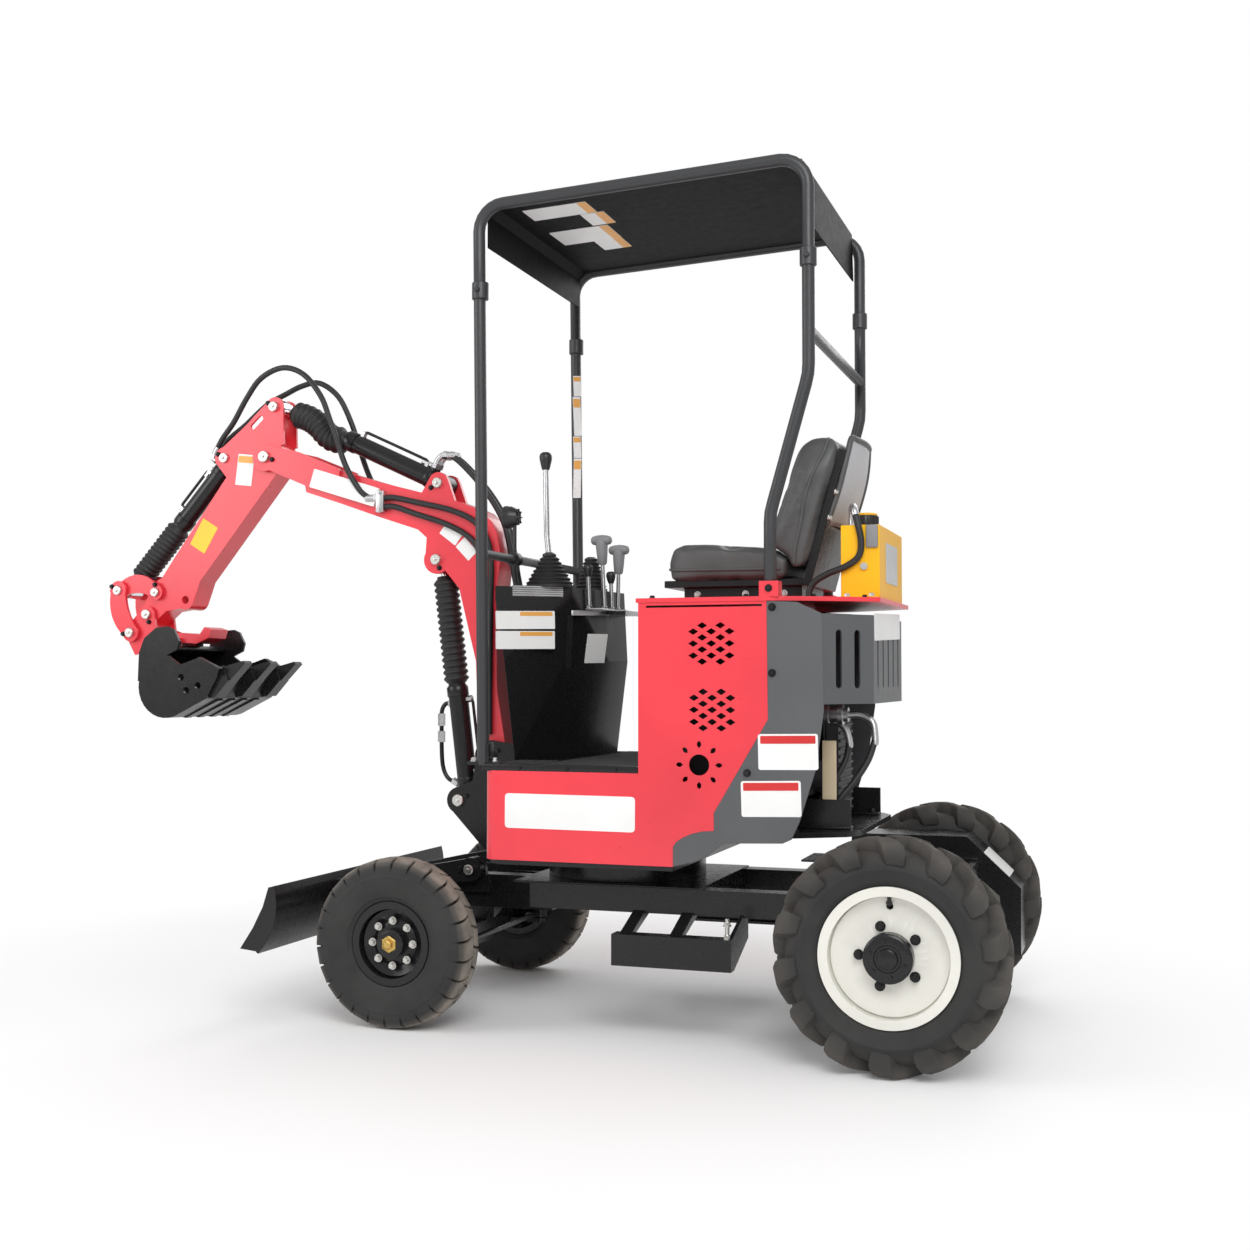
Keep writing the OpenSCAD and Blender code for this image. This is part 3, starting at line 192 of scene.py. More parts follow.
def piece(name, bm, material, body="platform", crease=38):
    """turns a mesh in the making into a piece of the machine that rides on a body"""
    bmesh.ops.recalc_face_normals(bm, faces=bm.faces)
    for f in bm.faces:
        f.smooth = True
    for e in bm.edges:
        e.smooth = e.calc_face_angle(0) < math.radians(crease)
    mesh = bpy.data.meshes.new(name)
    bm.to_mesh(mesh)
    bm.free()
    mesh.materials.append(material)
    obj = bpy.data.objects.new(name, mesh)
    scene.collection.objects.link(obj)
    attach(obj, body)
    return obj


def smooth_run(points, n=5):
    """points along a smooth curve through the given ones, both ends kept"""
    out = []
    last = len(points) - 1
    for i in range(last):
        p0, p1, p2, p3 = points[max(i - 1, 0)], points[i], points[i + 1], points[min(i + 2, last)]
        for k in range(n):
            t = k / n
            out.append(0.5 * (2 * p1 + (p2 - p0) * t + (2 * p0 - 5 * p1 + 4 * p2 - p3) * t * t
                              + (3 * p1 - p0 - 3 * p2 + p3) * t ** 3))
    return out + [points[last]]


def tube(name, points, r, material, body=None, radii=None, sides=5):
    """a round tube of r millimetres along points, which radii scale; it rides on a body if one is named"""
    curve = bpy.data.curves.new(name + "_line", "CURVE")
    curve.dimensions = "3D"
    curve.bevel_depth = r / 1000
    curve.bevel_resolution = sides
    curve.use_fill_caps = True
    spline = curve.splines.new("POLY")
    spline.points.add(len(points) - 1)
    for k, p in enumerate(points):
        spline.points[k].co = (*p, 1)
        spline.points[k].radius = radii[k] if radii else 1.0
    line = bpy.data.objects.new(name + "_line", curve)
    scene.collection.objects.link(line)
    bpy.context.view_layer.update()
    mesh = bpy.data.meshes.new_from_object(line.evaluated_get(bpy.context.evaluated_depsgraph_get()))
    bpy.data.objects.remove(line)
    mesh.name = name
    mesh.materials.clear()
    mesh.materials.append(material)
    for p in mesh.polygons:
        p.use_smooth = True
    obj = bpy.data.objects.new(name, mesh)
    scene.collection.objects.link(obj)
    if body:
        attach(obj, body)
    return obj


def rod(bm, a, b, r, r2=None, n=24):
    """a round bar from a to b, its radius in millimetres"""
    d = b - a
    turn = d.to_track_quat("Z", "Y").to_matrix().to_4x4()
    bmesh.ops.create_cone(bm, cap_ends=True, segments=n, radius1=r / 1000,
                          radius2=(r if r2 is None else r2) / 1000, depth=d.length,
                          matrix=Matrix.Translation((a + b) / 2) @ turn)


def fitting(bm, end, way):
    """a crimped sleeve on a hose's end with the hexagon nut under it; way points out of the hose"""
    step = way.normalized() * (HOSE_R / 1000)
    rod(bm, end - step * 4.2, end - step * 1.1, HOSE_R * 1.22)
    for k in (1.6, 2.4, 3.2):
        rod(bm, end - step * (k + 0.25), end - step * (k - 0.15), HOSE_R * 1.34)
    rod(bm, end - step * 1.1, end + step * 0.5, HOSE_R * 1.45, n=6)


def hose(name, points, stands_for, body=None, bend=None):
    """a hose through points in millimetres: rides on a body, or, when bend is given, stays where it is in the
    world without a body
    """
    line = smooth_run([at(*p) for p in points])
    obj = tube(name, line, HOSE_R, hose_rubber)
    if bend:
        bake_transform(obj)
    else:
        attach(obj, body)
    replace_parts(obj, stands_for)


def bent_pipe(name, points, wall, body):
    """a plated steel pipe through points in millimetres, thicker than a hose by its wall"""
    tube(name, smooth_run([at(*p) for p in points]), HOSE_R + wall, plated_steel, body)


HOSE_Y, KNEE_Y, PORT_Y = 59.3, 14, 13
upper = ((1282, 800), (1282, 1000), (1280, 1200), (1278, 1320), (1294, 1396), (1338, 1450), (1416, 1486),
         (1523, 1512), (1606, 1531), (1638.9, 1531))
lower = ((1306, 800), (1306, 1000), (1304, 1200), (1304, 1304), (1328, 1374), (1372, 1414), (1443, 1448),
         (1540, 1480), (1606, 1503), (1638.9, 1503))
for name, y, route in (("upper_left", HOSE_Y, upper), ("upper_right", -HOSE_Y, upper),
                       ("lower_left", HOSE_Y, lower)):
    hose("boom_hose_" + name, [(x, y, z) for x, z in route], "boom_hoses", "boom")
over_the_arm = ("boom", "arm", at(1760, 0, 1640), at(2230, 0, 1800))
loop_start = ((1665.4, 59.3, 1532), (1688, 59.3, 1532), (1722, 61.3, 1554), (1752, 67.3, 1598),
              (1778, 71.3, 1650), (1804, 71.3, 1720))
hose("arm_loop_left", loop_start + (
    (1832, 69.3, 1790), (1866, 65.3, 1864), (1932, 59.3, 1938), (2018, 44, 1968), (2105, 32, 1942),
    (2163, 24, 1882), (2216, 18, 1806), (2264, 14, 1750), (2295, PORT_Y, 1693.6)), "loop_hoses",
    bend=over_the_arm)
hose("arm_loop_right", [(x, -y, z) for x, y, z in loop_start + (
    (1832, 69.3, 1800), (1877, 65.3, 1885), (1945, 63.3, 1933), (2010, 64, 1928), (2070, 66, 1906),
    (2140, 60, 1872), (2204, 36, 1806), (2264, 16, 1750), (2295, PORT_Y, 1693.6))], "loop_hoses",
    bend=over_the_arm)
for hand, y in (("left", KNEE_Y), ("right", -KNEE_Y)):
    knee = ((1464, 1662), (1442, 1662), (1408, 1642), (1350, 1584), (1296, 1516), (1254, 1440), (1232, 1350),
            (1222, 1290), (1214, 1250), (1209.4, 1215))
    hose("knee_hose_" + hand, [(x, y, z) for x, z in knee], "knee_hoses",
         bend=("platform", "boom", at(1215, 0, 1240), at(1380, 0, 1600)))
    bent_pipe("knee_elbow_" + hand, ((1487.6, y, 1629), (1479.4, y, 1648.6), (1464, y, 1662),
                                     (1452, y, 1663)), 0.8,
              "arm_cylinder")
TANK_TOP = 1385
hose("tank_hose_line", [(x, y, TANK_TOP + z) for x, y, z in (
    (146, 195.4, 44), (134, 209.4, 6), (124, 210.4, -48), (132, 210.4, -88), (168, 210.4, -114),
    (216, 210.4, -132), (252, 210.4, -154), (266, 210.4, -178), (267, 210.4, -199.3))], "tank_hose", "platform")
bent_pipe("tank_elbow", [(x, y, TANK_TOP + z) for x, y, z in (
    (158, 152, -1), (158, 152, 26), (155, 166, 52), (146, 195.4, 44), (140, 204, 25))], 1.4, "platform")
hose("engine_hose_outer", ((98, 158, 805), (114, 172, 750), (146, 192, 695), (184, 208, 645), (203, 214, 605),
                           (205, 215, 567)), "engine_hoses", "platform")
hose("engine_hose_inner", ((176, 118, 795), (184, 128, 745), (212, 146, 690), (243, 161, 640), (254, 165, 604),
                           (254, 165, 567)), "engine_hoses", "platform")
bent_pipe("engine_elbow_outer", ((171.1, 150, 870), (138, 150, 870), (106, 152, 850), (98, 158, 805),
                                 (99, 160, 790)),
          0.8, "platform")
bent_pipe("engine_elbow_inner", ((254.1, 118, 852), (224, 118, 852), (190, 116, 835), (176, 118, 795),
                                 (176, 119, 780)),
          0.8, "platform")

arm_fittings, clamp_fittings, knee_fittings = bmesh.new(), bmesh.new(), bmesh.new()
for s in BOTH:
    y = s * PORT_Y
    fitting(arm_fittings, at(2295, y, 1693.6), Vector((31, 0, -56)))
    rod(arm_fittings, at(2299, y, 1697), at(2283, y, 1682.6), 10.5, n=16)
    fitting(clamp_fittings, at(1667, s * HOSE_Y, 1532), -X_AXIS)
    y = s * KNEE_Y
    fitting(knee_fittings, at(1456, y, 1662.6), Vector((1, 0, 0.05)))
    rod(knee_fittings, at(1490, y, 1624), at(1484, y, 1638), 12.5, n=6)
piece("bucket_hose_fittings", arm_fittings, plated_steel, "bucket_cylinder")
piece("clamp_fittings", clamp_fittings, plated_steel, "boom")
piece("knee_fittings", knee_fittings, plated_steel, "arm_cylinder")

# The chassis: welded rails, axles and the dozer blade, all in black gloss enamel.
# The blade's rod is bare machined steel.


def enamel(name, colour, rough=0.28, coat=0.4, ripple=0.05, shine=0.5):
    """sprayed paint: a faint orange peel under a clear gloss"""
    m = finish(name, [c * 0.88 for c in colour], [min(1, c * 1.10) for c in colour],
               (max(0.03, rough - 0.08), rough + 0.10), (260, ripple), tone_scale=3.0)
    for socket, value in (("Coat Weight", coat), ("Coat Roughness", 0.12), ("Specular IOR Level", shine)):
        m.node_tree.nodes[BSDF].inputs[socket].default_value = value
    return m


black_enamel = enamel("black_enamel", (0.010, 0.010, 0.011), rough=0.26, coat=0.06, ripple=0.02, shine=0.36)
machined_steel = finish("machined_steel", (0.40, 0.40, 0.41), (0.56, 0.56, 0.57), (0.25, 0.45), (300, 0.1), 1.0)


def dress(material, *names, edge=1.5, segments=2):
    """gives CAD nodes a finish, and breaks their sharp edges by a radius in millimetres"""
    for name in names:
        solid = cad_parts[name]
        solid.data.materials.clear()
        solid.data.materials.append(material)
        solid.data.polygons.foreach_set("use_smooth", [True] * len(solid.data.polygons))
        weld = solid.modifiers.new("weld", "WELD")
        weld.merge_threshold = 0.00003
        flat = solid.modifiers.new("flat", "DECIMATE")
        flat.decimate_type = "DISSOLVE"
        flat.angle_limit = math.radians(0.6)
        if edge:
            soft = solid.modifiers.new("edges", "BEVEL")
            soft.width = edge / 1000
            soft.segments = segments
            soft.limit_method = "ANGLE"
            soft.angle_limit = math.radians(32)
            soft.harden_normals = True
        even = solid.modifiers.new("even", "WEIGHTED_NORMAL")
        even.keep_sharp = False
        even.weight = 90


dress(black_enamel, "chassis_frame", "rear_axle", "front_axle", "blade", "blade_barrel")
dress(black_enamel, "slew_ring", edge=2)
dress(black_enamel, "left_knuckle", "right_knuckle", "tie_rod", edge=1)
dress(machined_steel, "blade_rod", edge=1)

# The tyres: ribbed farm tyres at the rear, with long slanted lugs that meet at the crown by turns and
# end in broad knuckles on the sidewalls, and narrow industrial tyres in front, with two rows of tread
# blocks that lie by turns. All are black rubber, grey with dust on the tread.
REAR_WHEEL, FRONT_WHEEL = (0, 526.5, 292), (1388, 450, 235)
LUGS, BLOCKS = 14, 26
tyre_rubber = finish("tyre_rubber", (0.013, 0.013, 0.013), (0.030, 0.029, 0.028), (0.60, 0.82), (190, 0.35),
                     tone_scale=5.0, rough_scale=25.0)
tree = tyre_rubber.node_tree
worn = node(tree, "Attribute", attribute_name="dust")
patches = node(tree, "TexNoise", (("Scale", 18.0), ("Detail", 4.0),
                                  ("Vector", tree.nodes["Texture Coordinate"].outputs["Object"])))
share = node(tree, "Math", ((0, worn.outputs["Fac"]), (1, patches.outputs["Fac"])), operation="MULTIPLY")
dusty = node(tree, "Mix", (("Factor", share.outputs[0]), ("A", tree.nodes["Color Ramp"].outputs["Color"]),
                           ("B", (0.30, 0.262, 0.222, 1))), data_type="RGBA")
tree.links.new(dusty.outputs["Result"], tree.nodes[BSDF].inputs["Base Color"])


def turned(bm, profile, centre, axis, up, steps=24):
    """spins a profile of (along the axis, radius) in millimetres about an axis through centre"""
    verts = [bm.verts.new(centre + axis * (a / 1000) + up * (r / 1000)) for a, r in profile]
    edges = [bm.edges.new(pair) for pair in zip(verts, verts[1:])]
    bmesh.ops.spin(bm, geom=verts + edges, cent=centre, axis=axis, dvec=(0, 0, 0), angle=math.tau, steps=steps,
                   use_merge=True, use_duplicate=False)
    bmesh.ops.remove_doubles(bm, verts=bm.verts, dist=0.00002)


def tyre(name, solid, body, centre, hand, crown, steps, count, stations, section, dust):
    """a tyre with two rows of lugs; section gives the points of a lug's cross-section at each station"""
    bm = bmesh.new()
    turned(bm, crown + [(-a, r) for a, r in reversed(crown)] + crown[:1], centre, Y_AXIS, Z_AXIS, steps)
    for s in BOTH:
        for k in range(count):
            start = math.tau / count * (k + (0.5 if s > 0 else 0))
            rings = []
            for station in stations:
                rings.append([bm.verts.new(centre + Y_AXIS * (s * hand * along / 1000)
                                           + rad / 1000 * around(math.pi - start - turn))
                              for along, rad, turn in section(*station)])
            for a, b in zip(rings, rings[1:]):
                for i in range(5):
                    bm.faces.new((a[i], a[i + 1], b[i + 1], b[i]))
            bm.faces.new(rings[0])
            bm.faces.new(rings[-1])
    obj = piece(name, bm, tyre_rubber, body, 30)
    inner, outer, most = dust
    mark = obj.data.attributes.new("dust", "FLOAT", "POINT")
    for v in obj.data.vertices:
        d = v.co - centre
        reach = (math.hypot(d.x, d.z) * 1000 - inner) / (outer - inner)
        mark.data[v.index].value = most * min(1, max(0, reach))
    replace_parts(obj, solid)


rear_crown = [(44.5, 155.5), (44.5, 174.5), (50, 179.5), (53.5, 185.5), (54.5, 185.5), (55.5, 189.5),
              (58.5, 197.5), (62.5, 211.5), (64, 215.5), (63.2, 219.5), (62.2, 224), (58, 234), (52, 244),
              (44, 253), (30, 259), (12, 261)]
# along the axis, low and high radius, turn in degrees, half width
rear_stations = ((3, 258, 292, 0, 14), (20, 257, 292, 5.5, 15.5), (38, 253, 290.5, 10.5, 19.5),
                 (52, 245, 287, 14, 25.5), (61.5, 236, 279, 16, 29.5), (67, 229, 264, 17, 30.5),
                 (67.2, 223, 245, 17.6, 28.5), (64, 218, 230, 18, 23))


def lug(a, low, high, turn, half):
    """a slanted lug's cross-section at one station, with its foot under the tread"""
    foot = a - 12 if a > 50 else a
    return [(along, rad, math.radians(turn) + wide / 290) for wide, rad, along in (
        (half + 6, low, foot), (half, high - 4, a), (half - 5, high, a),
        (5 - half, high, a), (-half, high - 4, a), (-half - 6, low, foot))]


front_crown = [(36, 102.2), (36, 117), (41, 120), (44, 126), (47.5, 130), (48.5, 131), (49, 134),
               (55.5, 150), (57.8, 172), (57.5, 186), (58, 188), (57.2, 190), (55.5, 202), (52, 211),
               (44, 217), (30, 219.5), (10, 220)]
# along the axis, low and high radius, turn in blocks
front_stations = ((2.5, 218, 235, 0), (16, 218, 234.8, 0.10), (30, 216, 233.5, 0.16), (42, 212, 230.5, 0.18),
                  (51, 205, 224.5, 0.18), (56.2, 198, 213, 0.18), (56.8, 190, 200, 0.18))


def block(a, low, high, turn):
    """a tread block's cross-section at one station"""
    return [(a, rad, math.tau / BLOCKS * (turn + wide)) for wide, rad in (
        (0.455, low), (0.44, high - 2), (0.42, high), (-0.42, high), (-0.44, high - 2), (-0.455, low))]


for end, kind, (x, y, z), hands, shape in (
        ("rear", "farm", REAR_WHEEL, BOTH, (rear_crown, 96, LUGS, rear_stations, lug, (225, 300, 0.36))),
        ("front", "block", FRONT_WHEEL, (1, 1), (front_crown, 104, BLOCKS, front_stations, block,
                                                 (222, 233, 1.5)))):
    for s, hand, side in zip(BOTH, hands, ("left", "right")):
        wheel = end + "_" + side
        tyre("%s_%s_tyre" % (wheel, kind), wheel + "_tyre", wheel + "_wheel", at(x, s * y, z), hand, *shape)

# The rims: pressed steel discs, cream at the rear and black at the front, held by zinc bolts.
# The rear hubs are black castings with five studs; the front hubs end in a brass nut.
cream_enamel = enamel("cream_enamel", (0.74, 0.73, 0.67), rough=0.34, coat=0.3)
bolt_zinc = finish("bolt_zinc", (0.56, 0.55, 0.52), (0.74, 0.73, 0.70), (0.25, 0.45), (500, 0.1), 1.0)
black_bolt = finish("black_bolt", (0.012, 0.012, 0.013), (0.030, 0.030, 0.032), (0.32, 0.5), (500, 0.1), 0.6)
brass = finish("brass", (0.55, 0.36, 0.10), (0.70, 0.48, 0.16), (0.25, 0.4), (500, 0.1), 1.0)
dress(cream_enamel, "rear_left_rim", "rear_right_rim", edge=1.2)
dress(black_enamel, "front_left_rim", "front_right_rim", edge=1)


def bolt(bm, p, way, across, tall):
    """a hexagon head on a round washer, standing on p and pointing along way; sizes in millimetres"""
    rise = way.normalized() * (tall / 1000)
    rod(bm, p, p + rise * 0.22, across * 0.62, n=20)
    rod(bm, p, p + rise * 0.86, across * 0.5, n=6)
    rod(bm, p + rise * 0.80, p + rise, across * 0.42, across * 0.34, n=12)


def bolts(name, material, across, tall, spots, body="platform"):
    """a piece of like bolts, each at a point and along a way"""
    bm = bmesh.new()
    for p, way in spots:
        bolt(bm, p, way, across, tall)
    piece(name, bm, material, body)


def surface(name):
    """the outer skin of a CAD node, to set pieces on"""
    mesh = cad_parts[name].data
    return BVHTree.FromPolygons([v.co for v in mesh.vertices], [p.vertices for p in mesh.polygons])


def on_rim(skin, face, out, radius, angle):
    """the point of a rear rim's outer side at a radius and angle, also over a hole of the rim"""
    for turn in (angle, angle + 0.15, angle + 0.3):
        hit, _, _, _ = skin.ray_cast(face + out * 0.2 + radius / 1000 * around(turn), -out)
        if hit:
            break
    return face + out * (hit - face).dot(out) + radius / 1000 * around(angle)


for s, body in zip(BOTH, ("rear_left_wheel", "rear_right_wheel")):
    out = Y_AXIS * s
    face = at(REAR_WHEEL[0], s * REAR_WHEEL[1], REAR_WHEEL[2])
    skin = surface(body.replace("wheel", "rim"))
    proud = (on_rim(skin, face, out, 40, 0.5) - face).dot(out) * 1000
    hub = bmesh.new()
    turned(hub, [(proud + a, r) for a, r in (
        (-30, 0), (-30, 61), (0, 61), (3, 58), (5, 52), (5, 34), (3, 32), (3, 26), (10, 24), (12, 20),
        (12, 0))], face, out, Z_AXIS, 48)
    for k in range(6):
        bolt(hub, face + out * (proud + 4) / 1000 + 0.044 * around(math.tau * k / 6 + 0.2), out, 9, 6)
    piece(body + "_hub", hub, black_enamel, body)
    bolts(body + "_studs", black_bolt, 21, 17, [(on_rim(skin, face, out, 76, math.tau * k / 5 + 0.3), out)
                                                for k in range(5)], body)
    valve = bmesh.new()
    foot = on_rim(skin, face, out, 131, 0.0)
    rod(valve, foot + out * 0.004, foot + out * 0.006 + Z_AXIS * 0.030, 4.8, n=14)
    rod(valve, foot - out * 0.002, foot + out * 0.008, 7.5, n=14)
    piece(body + "_valve", valve, hose_rubber, body)
for s, body in zip(BOTH, ("front_left_wheel", "front_right_wheel")):
    out = Y_AXIS * s
    face = at(FRONT_WHEEL[0], s * FRONT_WHEEL[1], FRONT_WHEEL[2])
    bolts(body + "_bolts", bolt_zinc, 18, 12, [(face + out * 0.0235 + 0.062 * around(math.tau * k / 8), out)
                                               for k in range(8)], body)
    cap = bmesh.new()
    turned(cap, ((43, 0), (43, 24), (50, 24), (52, 21), (52.5, 15), (60, 14), (63, 10), (63, 0)), face, out,
           Z_AXIS, 6)
    piece(body + "_hub_nut", cap, brass, body, 20)
    ring = bmesh.new()
    turned(ring, ((41, 0), (41, 36), (44.5, 36), (45.5, 34), (45.5, 0)), face, out, Z_AXIS, 40)
    piece(body + "_hub_cover", ring, black_enamel, body)

# The platform: red and grey sheet panels on a black frame, and the hood over the engine bay, with blank
# plates where the panels have them and black bolts along the grey ones.
red_enamel = enamel("red_enamel", (0.80, 0.040, 0.060), rough=0.30, coat=0.3)
grey_enamel = enamel("grey_enamel", (0.090, 0.093, 0.098), rough=0.46, coat=0.1)
cast_iron = finish("cast_iron", (0.035, 0.036, 0.037), (0.065, 0.066, 0.068), (0.5, 0.7), (120, 0.5))
dress(red_enamel, "red_panels", "seat_deck", edge=1.2)
dress(grey_enamel, "grey_panels", "rear_hood", edge=1.2)
dress(black_enamel, "platform_frame", "floor_plate")
dress(cast_iron, "engine", edge=5, segments=3)
skins = {}


def sight(px, py):
    """the way from the camera through a point of the 1250 frame"""
    step = SENSOR / LENS / FRAME_PX
    half = FRAME_PX / 2
    return cam.rotation_euler.to_matrix() @ Vector(((px - half) * step, (half - py) * step, -1)).normalized()


def look(name, px, py):
    """where the line of sight through a point of the 1250 frame meets a CAD node, and the way the skin faces"""
    if name not in skins:
        skins[name] = surface(name)
    ray = sight(px, py)
    hit, normal, _, _ = skins[name].ray_cast(cam.location, ray)
    return hit, normal if normal.dot(ray) < 0 else -normal


def paper(name, dark, light):
    """the smooth face of a blank plate"""
    return finish(name, dark, light, (0.30, 0.42), (300, 0.03))


label_white = paper("label_white", (0.78, 0.78, 0.77), (0.88, 0.88, 0.87))
label_red = paper("label_red", (0.55, 0.02, 0.02), (0.66, 0.03, 0.03))
label_yellow = paper("label_yellow", (0.80, 0.48, 0.01), (0.92, 0.58, 0.02))
label_orange = paper("label_orange", (0.74, 0.34, 0.06), (0.84, 0.41, 0.09))
label_grey = paper("label_grey", (0.45, 0.45, 0.46), (0.58, 0.58, 0.58))


def slab(bm, centre, u, v, wide, tall, thick, round_by):
    """a thin plate with round corners, sizes in metres, centred on a point, lying on the plane of u and v"""
    way = u.cross(v).normalized()
    corners = [bm.verts.new(centre + u * (wide / 2 * a) + v * (tall / 2 * b))
               for a, b in ((-1, -1), (1, -1), (1, 1), (-1, 1))]
    bm.faces.new(corners)
    bmesh.ops.bevel(bm, geom=corners, offset=round_by, offset_type="OFFSET", segments=4, profile=0.5,
                    affect="VERTICES", material=-1)
    grown = bmesh.ops.extrude_face_region(bm, geom=bm.faces[:])
    bmesh.ops.translate(bm, verts=[g for g in grown["geom"] if isinstance(g, bmesh.types.BMVert)],
                        vec=way * thick)


def label(name, solid, box, material, round_by, thick=1.2, band=None, lean=0.0, band_from=0.0, body="platform"):
    """a blank plate on a CAD node over a box of the 1250 frame, turned by lean degrees, with a band on top"""
    x0, y0, x1, y1 = box
    mx, my, half_x, half_y = (x0 + x1) / 2, (y0 + y1) / 2, (x1 - x0) / 2, (y1 - y0) / 2
    ca, sa = math.cos(math.radians(lean)), math.sin(math.radians(lean))
    c, way = look(solid, mx, my)

    def onto(a, b):
        """a point of the box on the plane of the plate"""
        ray = sight(mx + a * half_x * ca - b * half_y * sa, my + a * half_x * sa + b * half_y * ca)
        return cam.location + ray * ((c - cam.location).dot(way) / ray.dot(way))

    u = onto(1, 0) - onto(-1, 0)
    wide = u.length
    u.normalize()
    v = way.cross(u).normalized()
    tall = abs((onto(0, 1) - onto(0, -1)).dot(v))
    bm = bmesh.new()
    slab(bm, c - way * 0.0004, u, v, wide, tall, thick / 1000, min(round_by / 1000, tall * 0.3))
    piece(name, bm, material, body)
    if band:
        bm = bmesh.new()
        slab(bm, c + v * tall * 0.34 + u * wide * 0.5 * band_from * 0.92, u, v, wide * 0.92 * (1 - band_from),
             tall * 0.22, thick / 1000 + 0.0003, min(0.002, tall * 0.06))
        piece(name + "_band", bm, band, body)


label("side_plate", "red_panels", (504, 795, 634, 830), label_white, 10, lean=2)
label("grey_plate_upper", "grey_panels", (758, 734, 818, 770), label_white, 6, band=label_red)
label("grey_plate_lower", "grey_panels", (741, 781, 801, 817), label_white, 6, band=label_red)
label("hood_plate", "rear_hood", (875, 614, 900, 640), label_white, 4)
panel_spots = []
for px, py in ((772, 607), (772, 673), (747, 773)):
    hit, way = look("grey_panels", px, py)
    for s in BOTH:
        mirror = Matrix.Diagonal((1, s, 1))
        panel_spots.append((mirror @ (hit - way * 0.0004), mirror @ way))
bolts("panel_bolts", black_bolt, 17, 9, panel_spots)

# The floor: a chequered black rubber mat on the steel floor plate, with a bent steel edge,
# and the bracket that bolts the canopy's front post to the plate's corner.
FLOOR_TOP = 727.5
mat_rubber = finish("mat_rubber", (0.012, 0.012, 0.012), (0.026, 0.026, 0.026), (0.55, 0.78), (260, 0.3))


def box_of(bm, lo, hi, soft=0.0):
    """a box between two corners in millimetres, its edges rounded by soft"""
    a, b = at(*lo), at(*hi)
    place = Matrix.Translation((a + b) / 2) @ Matrix.Diagonal((*(b - a), 1))
    made = bmesh.ops.create_cube(bm, size=1, matrix=place)
    if soft:
        edges = list({e for v in made["verts"] for e in v.link_edges})
        bmesh.ops.bevel(bm, geom=edges, offset=soft / 1000, offset_type="OFFSET", segments=3, profile=0.5,
                        affect="EDGES", material=-1)


mat = bmesh.new()
box_of(mat, (699, -392, FLOOR_TOP), (1000, 392, 731))
box_of(mat, (1000, 190, FLOOR_TOP), (1128, 392, 731))
for count, x0, x1, first, pitch in ((27, 706, 990, -384, 29.5), (6, 1002, 1122, 206, 31)):
    for k in range(count):
        y = first + k * pitch
        box_of(mat, (x0, y - 5, 730.5), (x1, y + 5, 733.5), 1)
piece("floor_mat", mat, mat_rubber)
lip = bmesh.new()
for s in BOTH:
    box_of(lip, (697, s * 392 - 8, 713), (1154, s * 392 + 8, 732.5), 3)
    box_of(lip, (1118, s * 372 - 26, FLOOR_TOP), (1200, s * 372 + 26, 737), 2)
    box_of(lip, (1134, s * 384 - 30, 736), (1142, s * 384 + 14, 790), 2)
piece("floor_lip", lip, black_enamel)
bolts("floor_bolts", bolt_zinc, 17, 11, [(at(x, s * 372, 737), Z_AXIS) for s in BOTH for x in (1128, 1190)])
bolts("floor_edge_bolts", black_bolt, 10, 5,
      [(at(x, s * 399.5, 722), Y_AXIS * s) for s in BOTH for x in (760, 900, 1040)])

# The engine bay under the hood: a plated oil fitting, the block's ribs, a filter and a bare strip
# of primed steel that stiffens the bracket.
DECK_TOP = 1185
bay = bmesh.new()
turned(bay, ((0, 0), (0, 20.6), (12, 20.6), (14, 28.5), (28, 28.5), (30, 20.6), (52, 20.6), (54, 24),
             (66, 24), (68, 20.6), (83, 20.6), (83, 0)), at(171.6, 150, 870), X_AXIS, Z_AXIS)
for s in BOTH:
    bolt(bay, at(330, s * 150, 566), Z_AXIS, 50, 18)
piece("oil_fitting", bay, plated_steel)
ribs = bmesh.new()
for k in range(7):
    box_of(ribs, (294, -180 + k * 56, 650), (301, -166 + k * 56, 1000), 2)
for k in range(9):
    box_of(ribs, (352, -124, 1016 + k * 7), (568, 124, 1019 + k * 7), 1)
for k in range(12):
    box_of(ribs, (219, -176, 590 + k * 22), (226, 16, 598 + k * 22), 2)
turned(ribs, ((0, 0), (0, 36), (4, 40.5), (60, 40.5), (62, 43), (70, 43)), at(239, 90, 700), X_AXIS, Z_AXIS, 32)
piece("engine_ribs", ribs, cast_iron)
primer = finish("primer", (0.55, 0.44, 0.28), (0.66, 0.55, 0.38), (0.5, 0.65), (200, 0.15))
strip = bmesh.new()
box_of(strip, (190, 229, 600), (228, 236.5, 802), 2)
piece("bracket_strip", strip, primer)
brackets = bmesh.new()
deck_bolts = bmesh.new()
for s in BOTH:
    box_of(brackets, (150, s * 228 - 22, 566), (292, s * 228 + 22, 574), 2)
    for x in (170, 270):
        bolt(brackets, at(x, s * 214, 574), Z_AXIS, 18, 12)
    for x, y in ((660, 384), (520, 384), (400, 384), (230, 330), (110, 240)):
        bolt(deck_bolts, at(x, s * y, DECK_TOP), Z_AXIS, 14, 8)
    for z in (1160, 1000, 840):
        bolt(deck_bolts, at(695, s * 360, z), X_AXIS, 14, 8)
    bolt(deck_bolts, at(334, s * 404, 1206), Y_AXIS * s, 16, 9)
piece("bay_brackets", brackets, black_enamel)
piece("deck_bolts", deck_bolts, black_bolt)

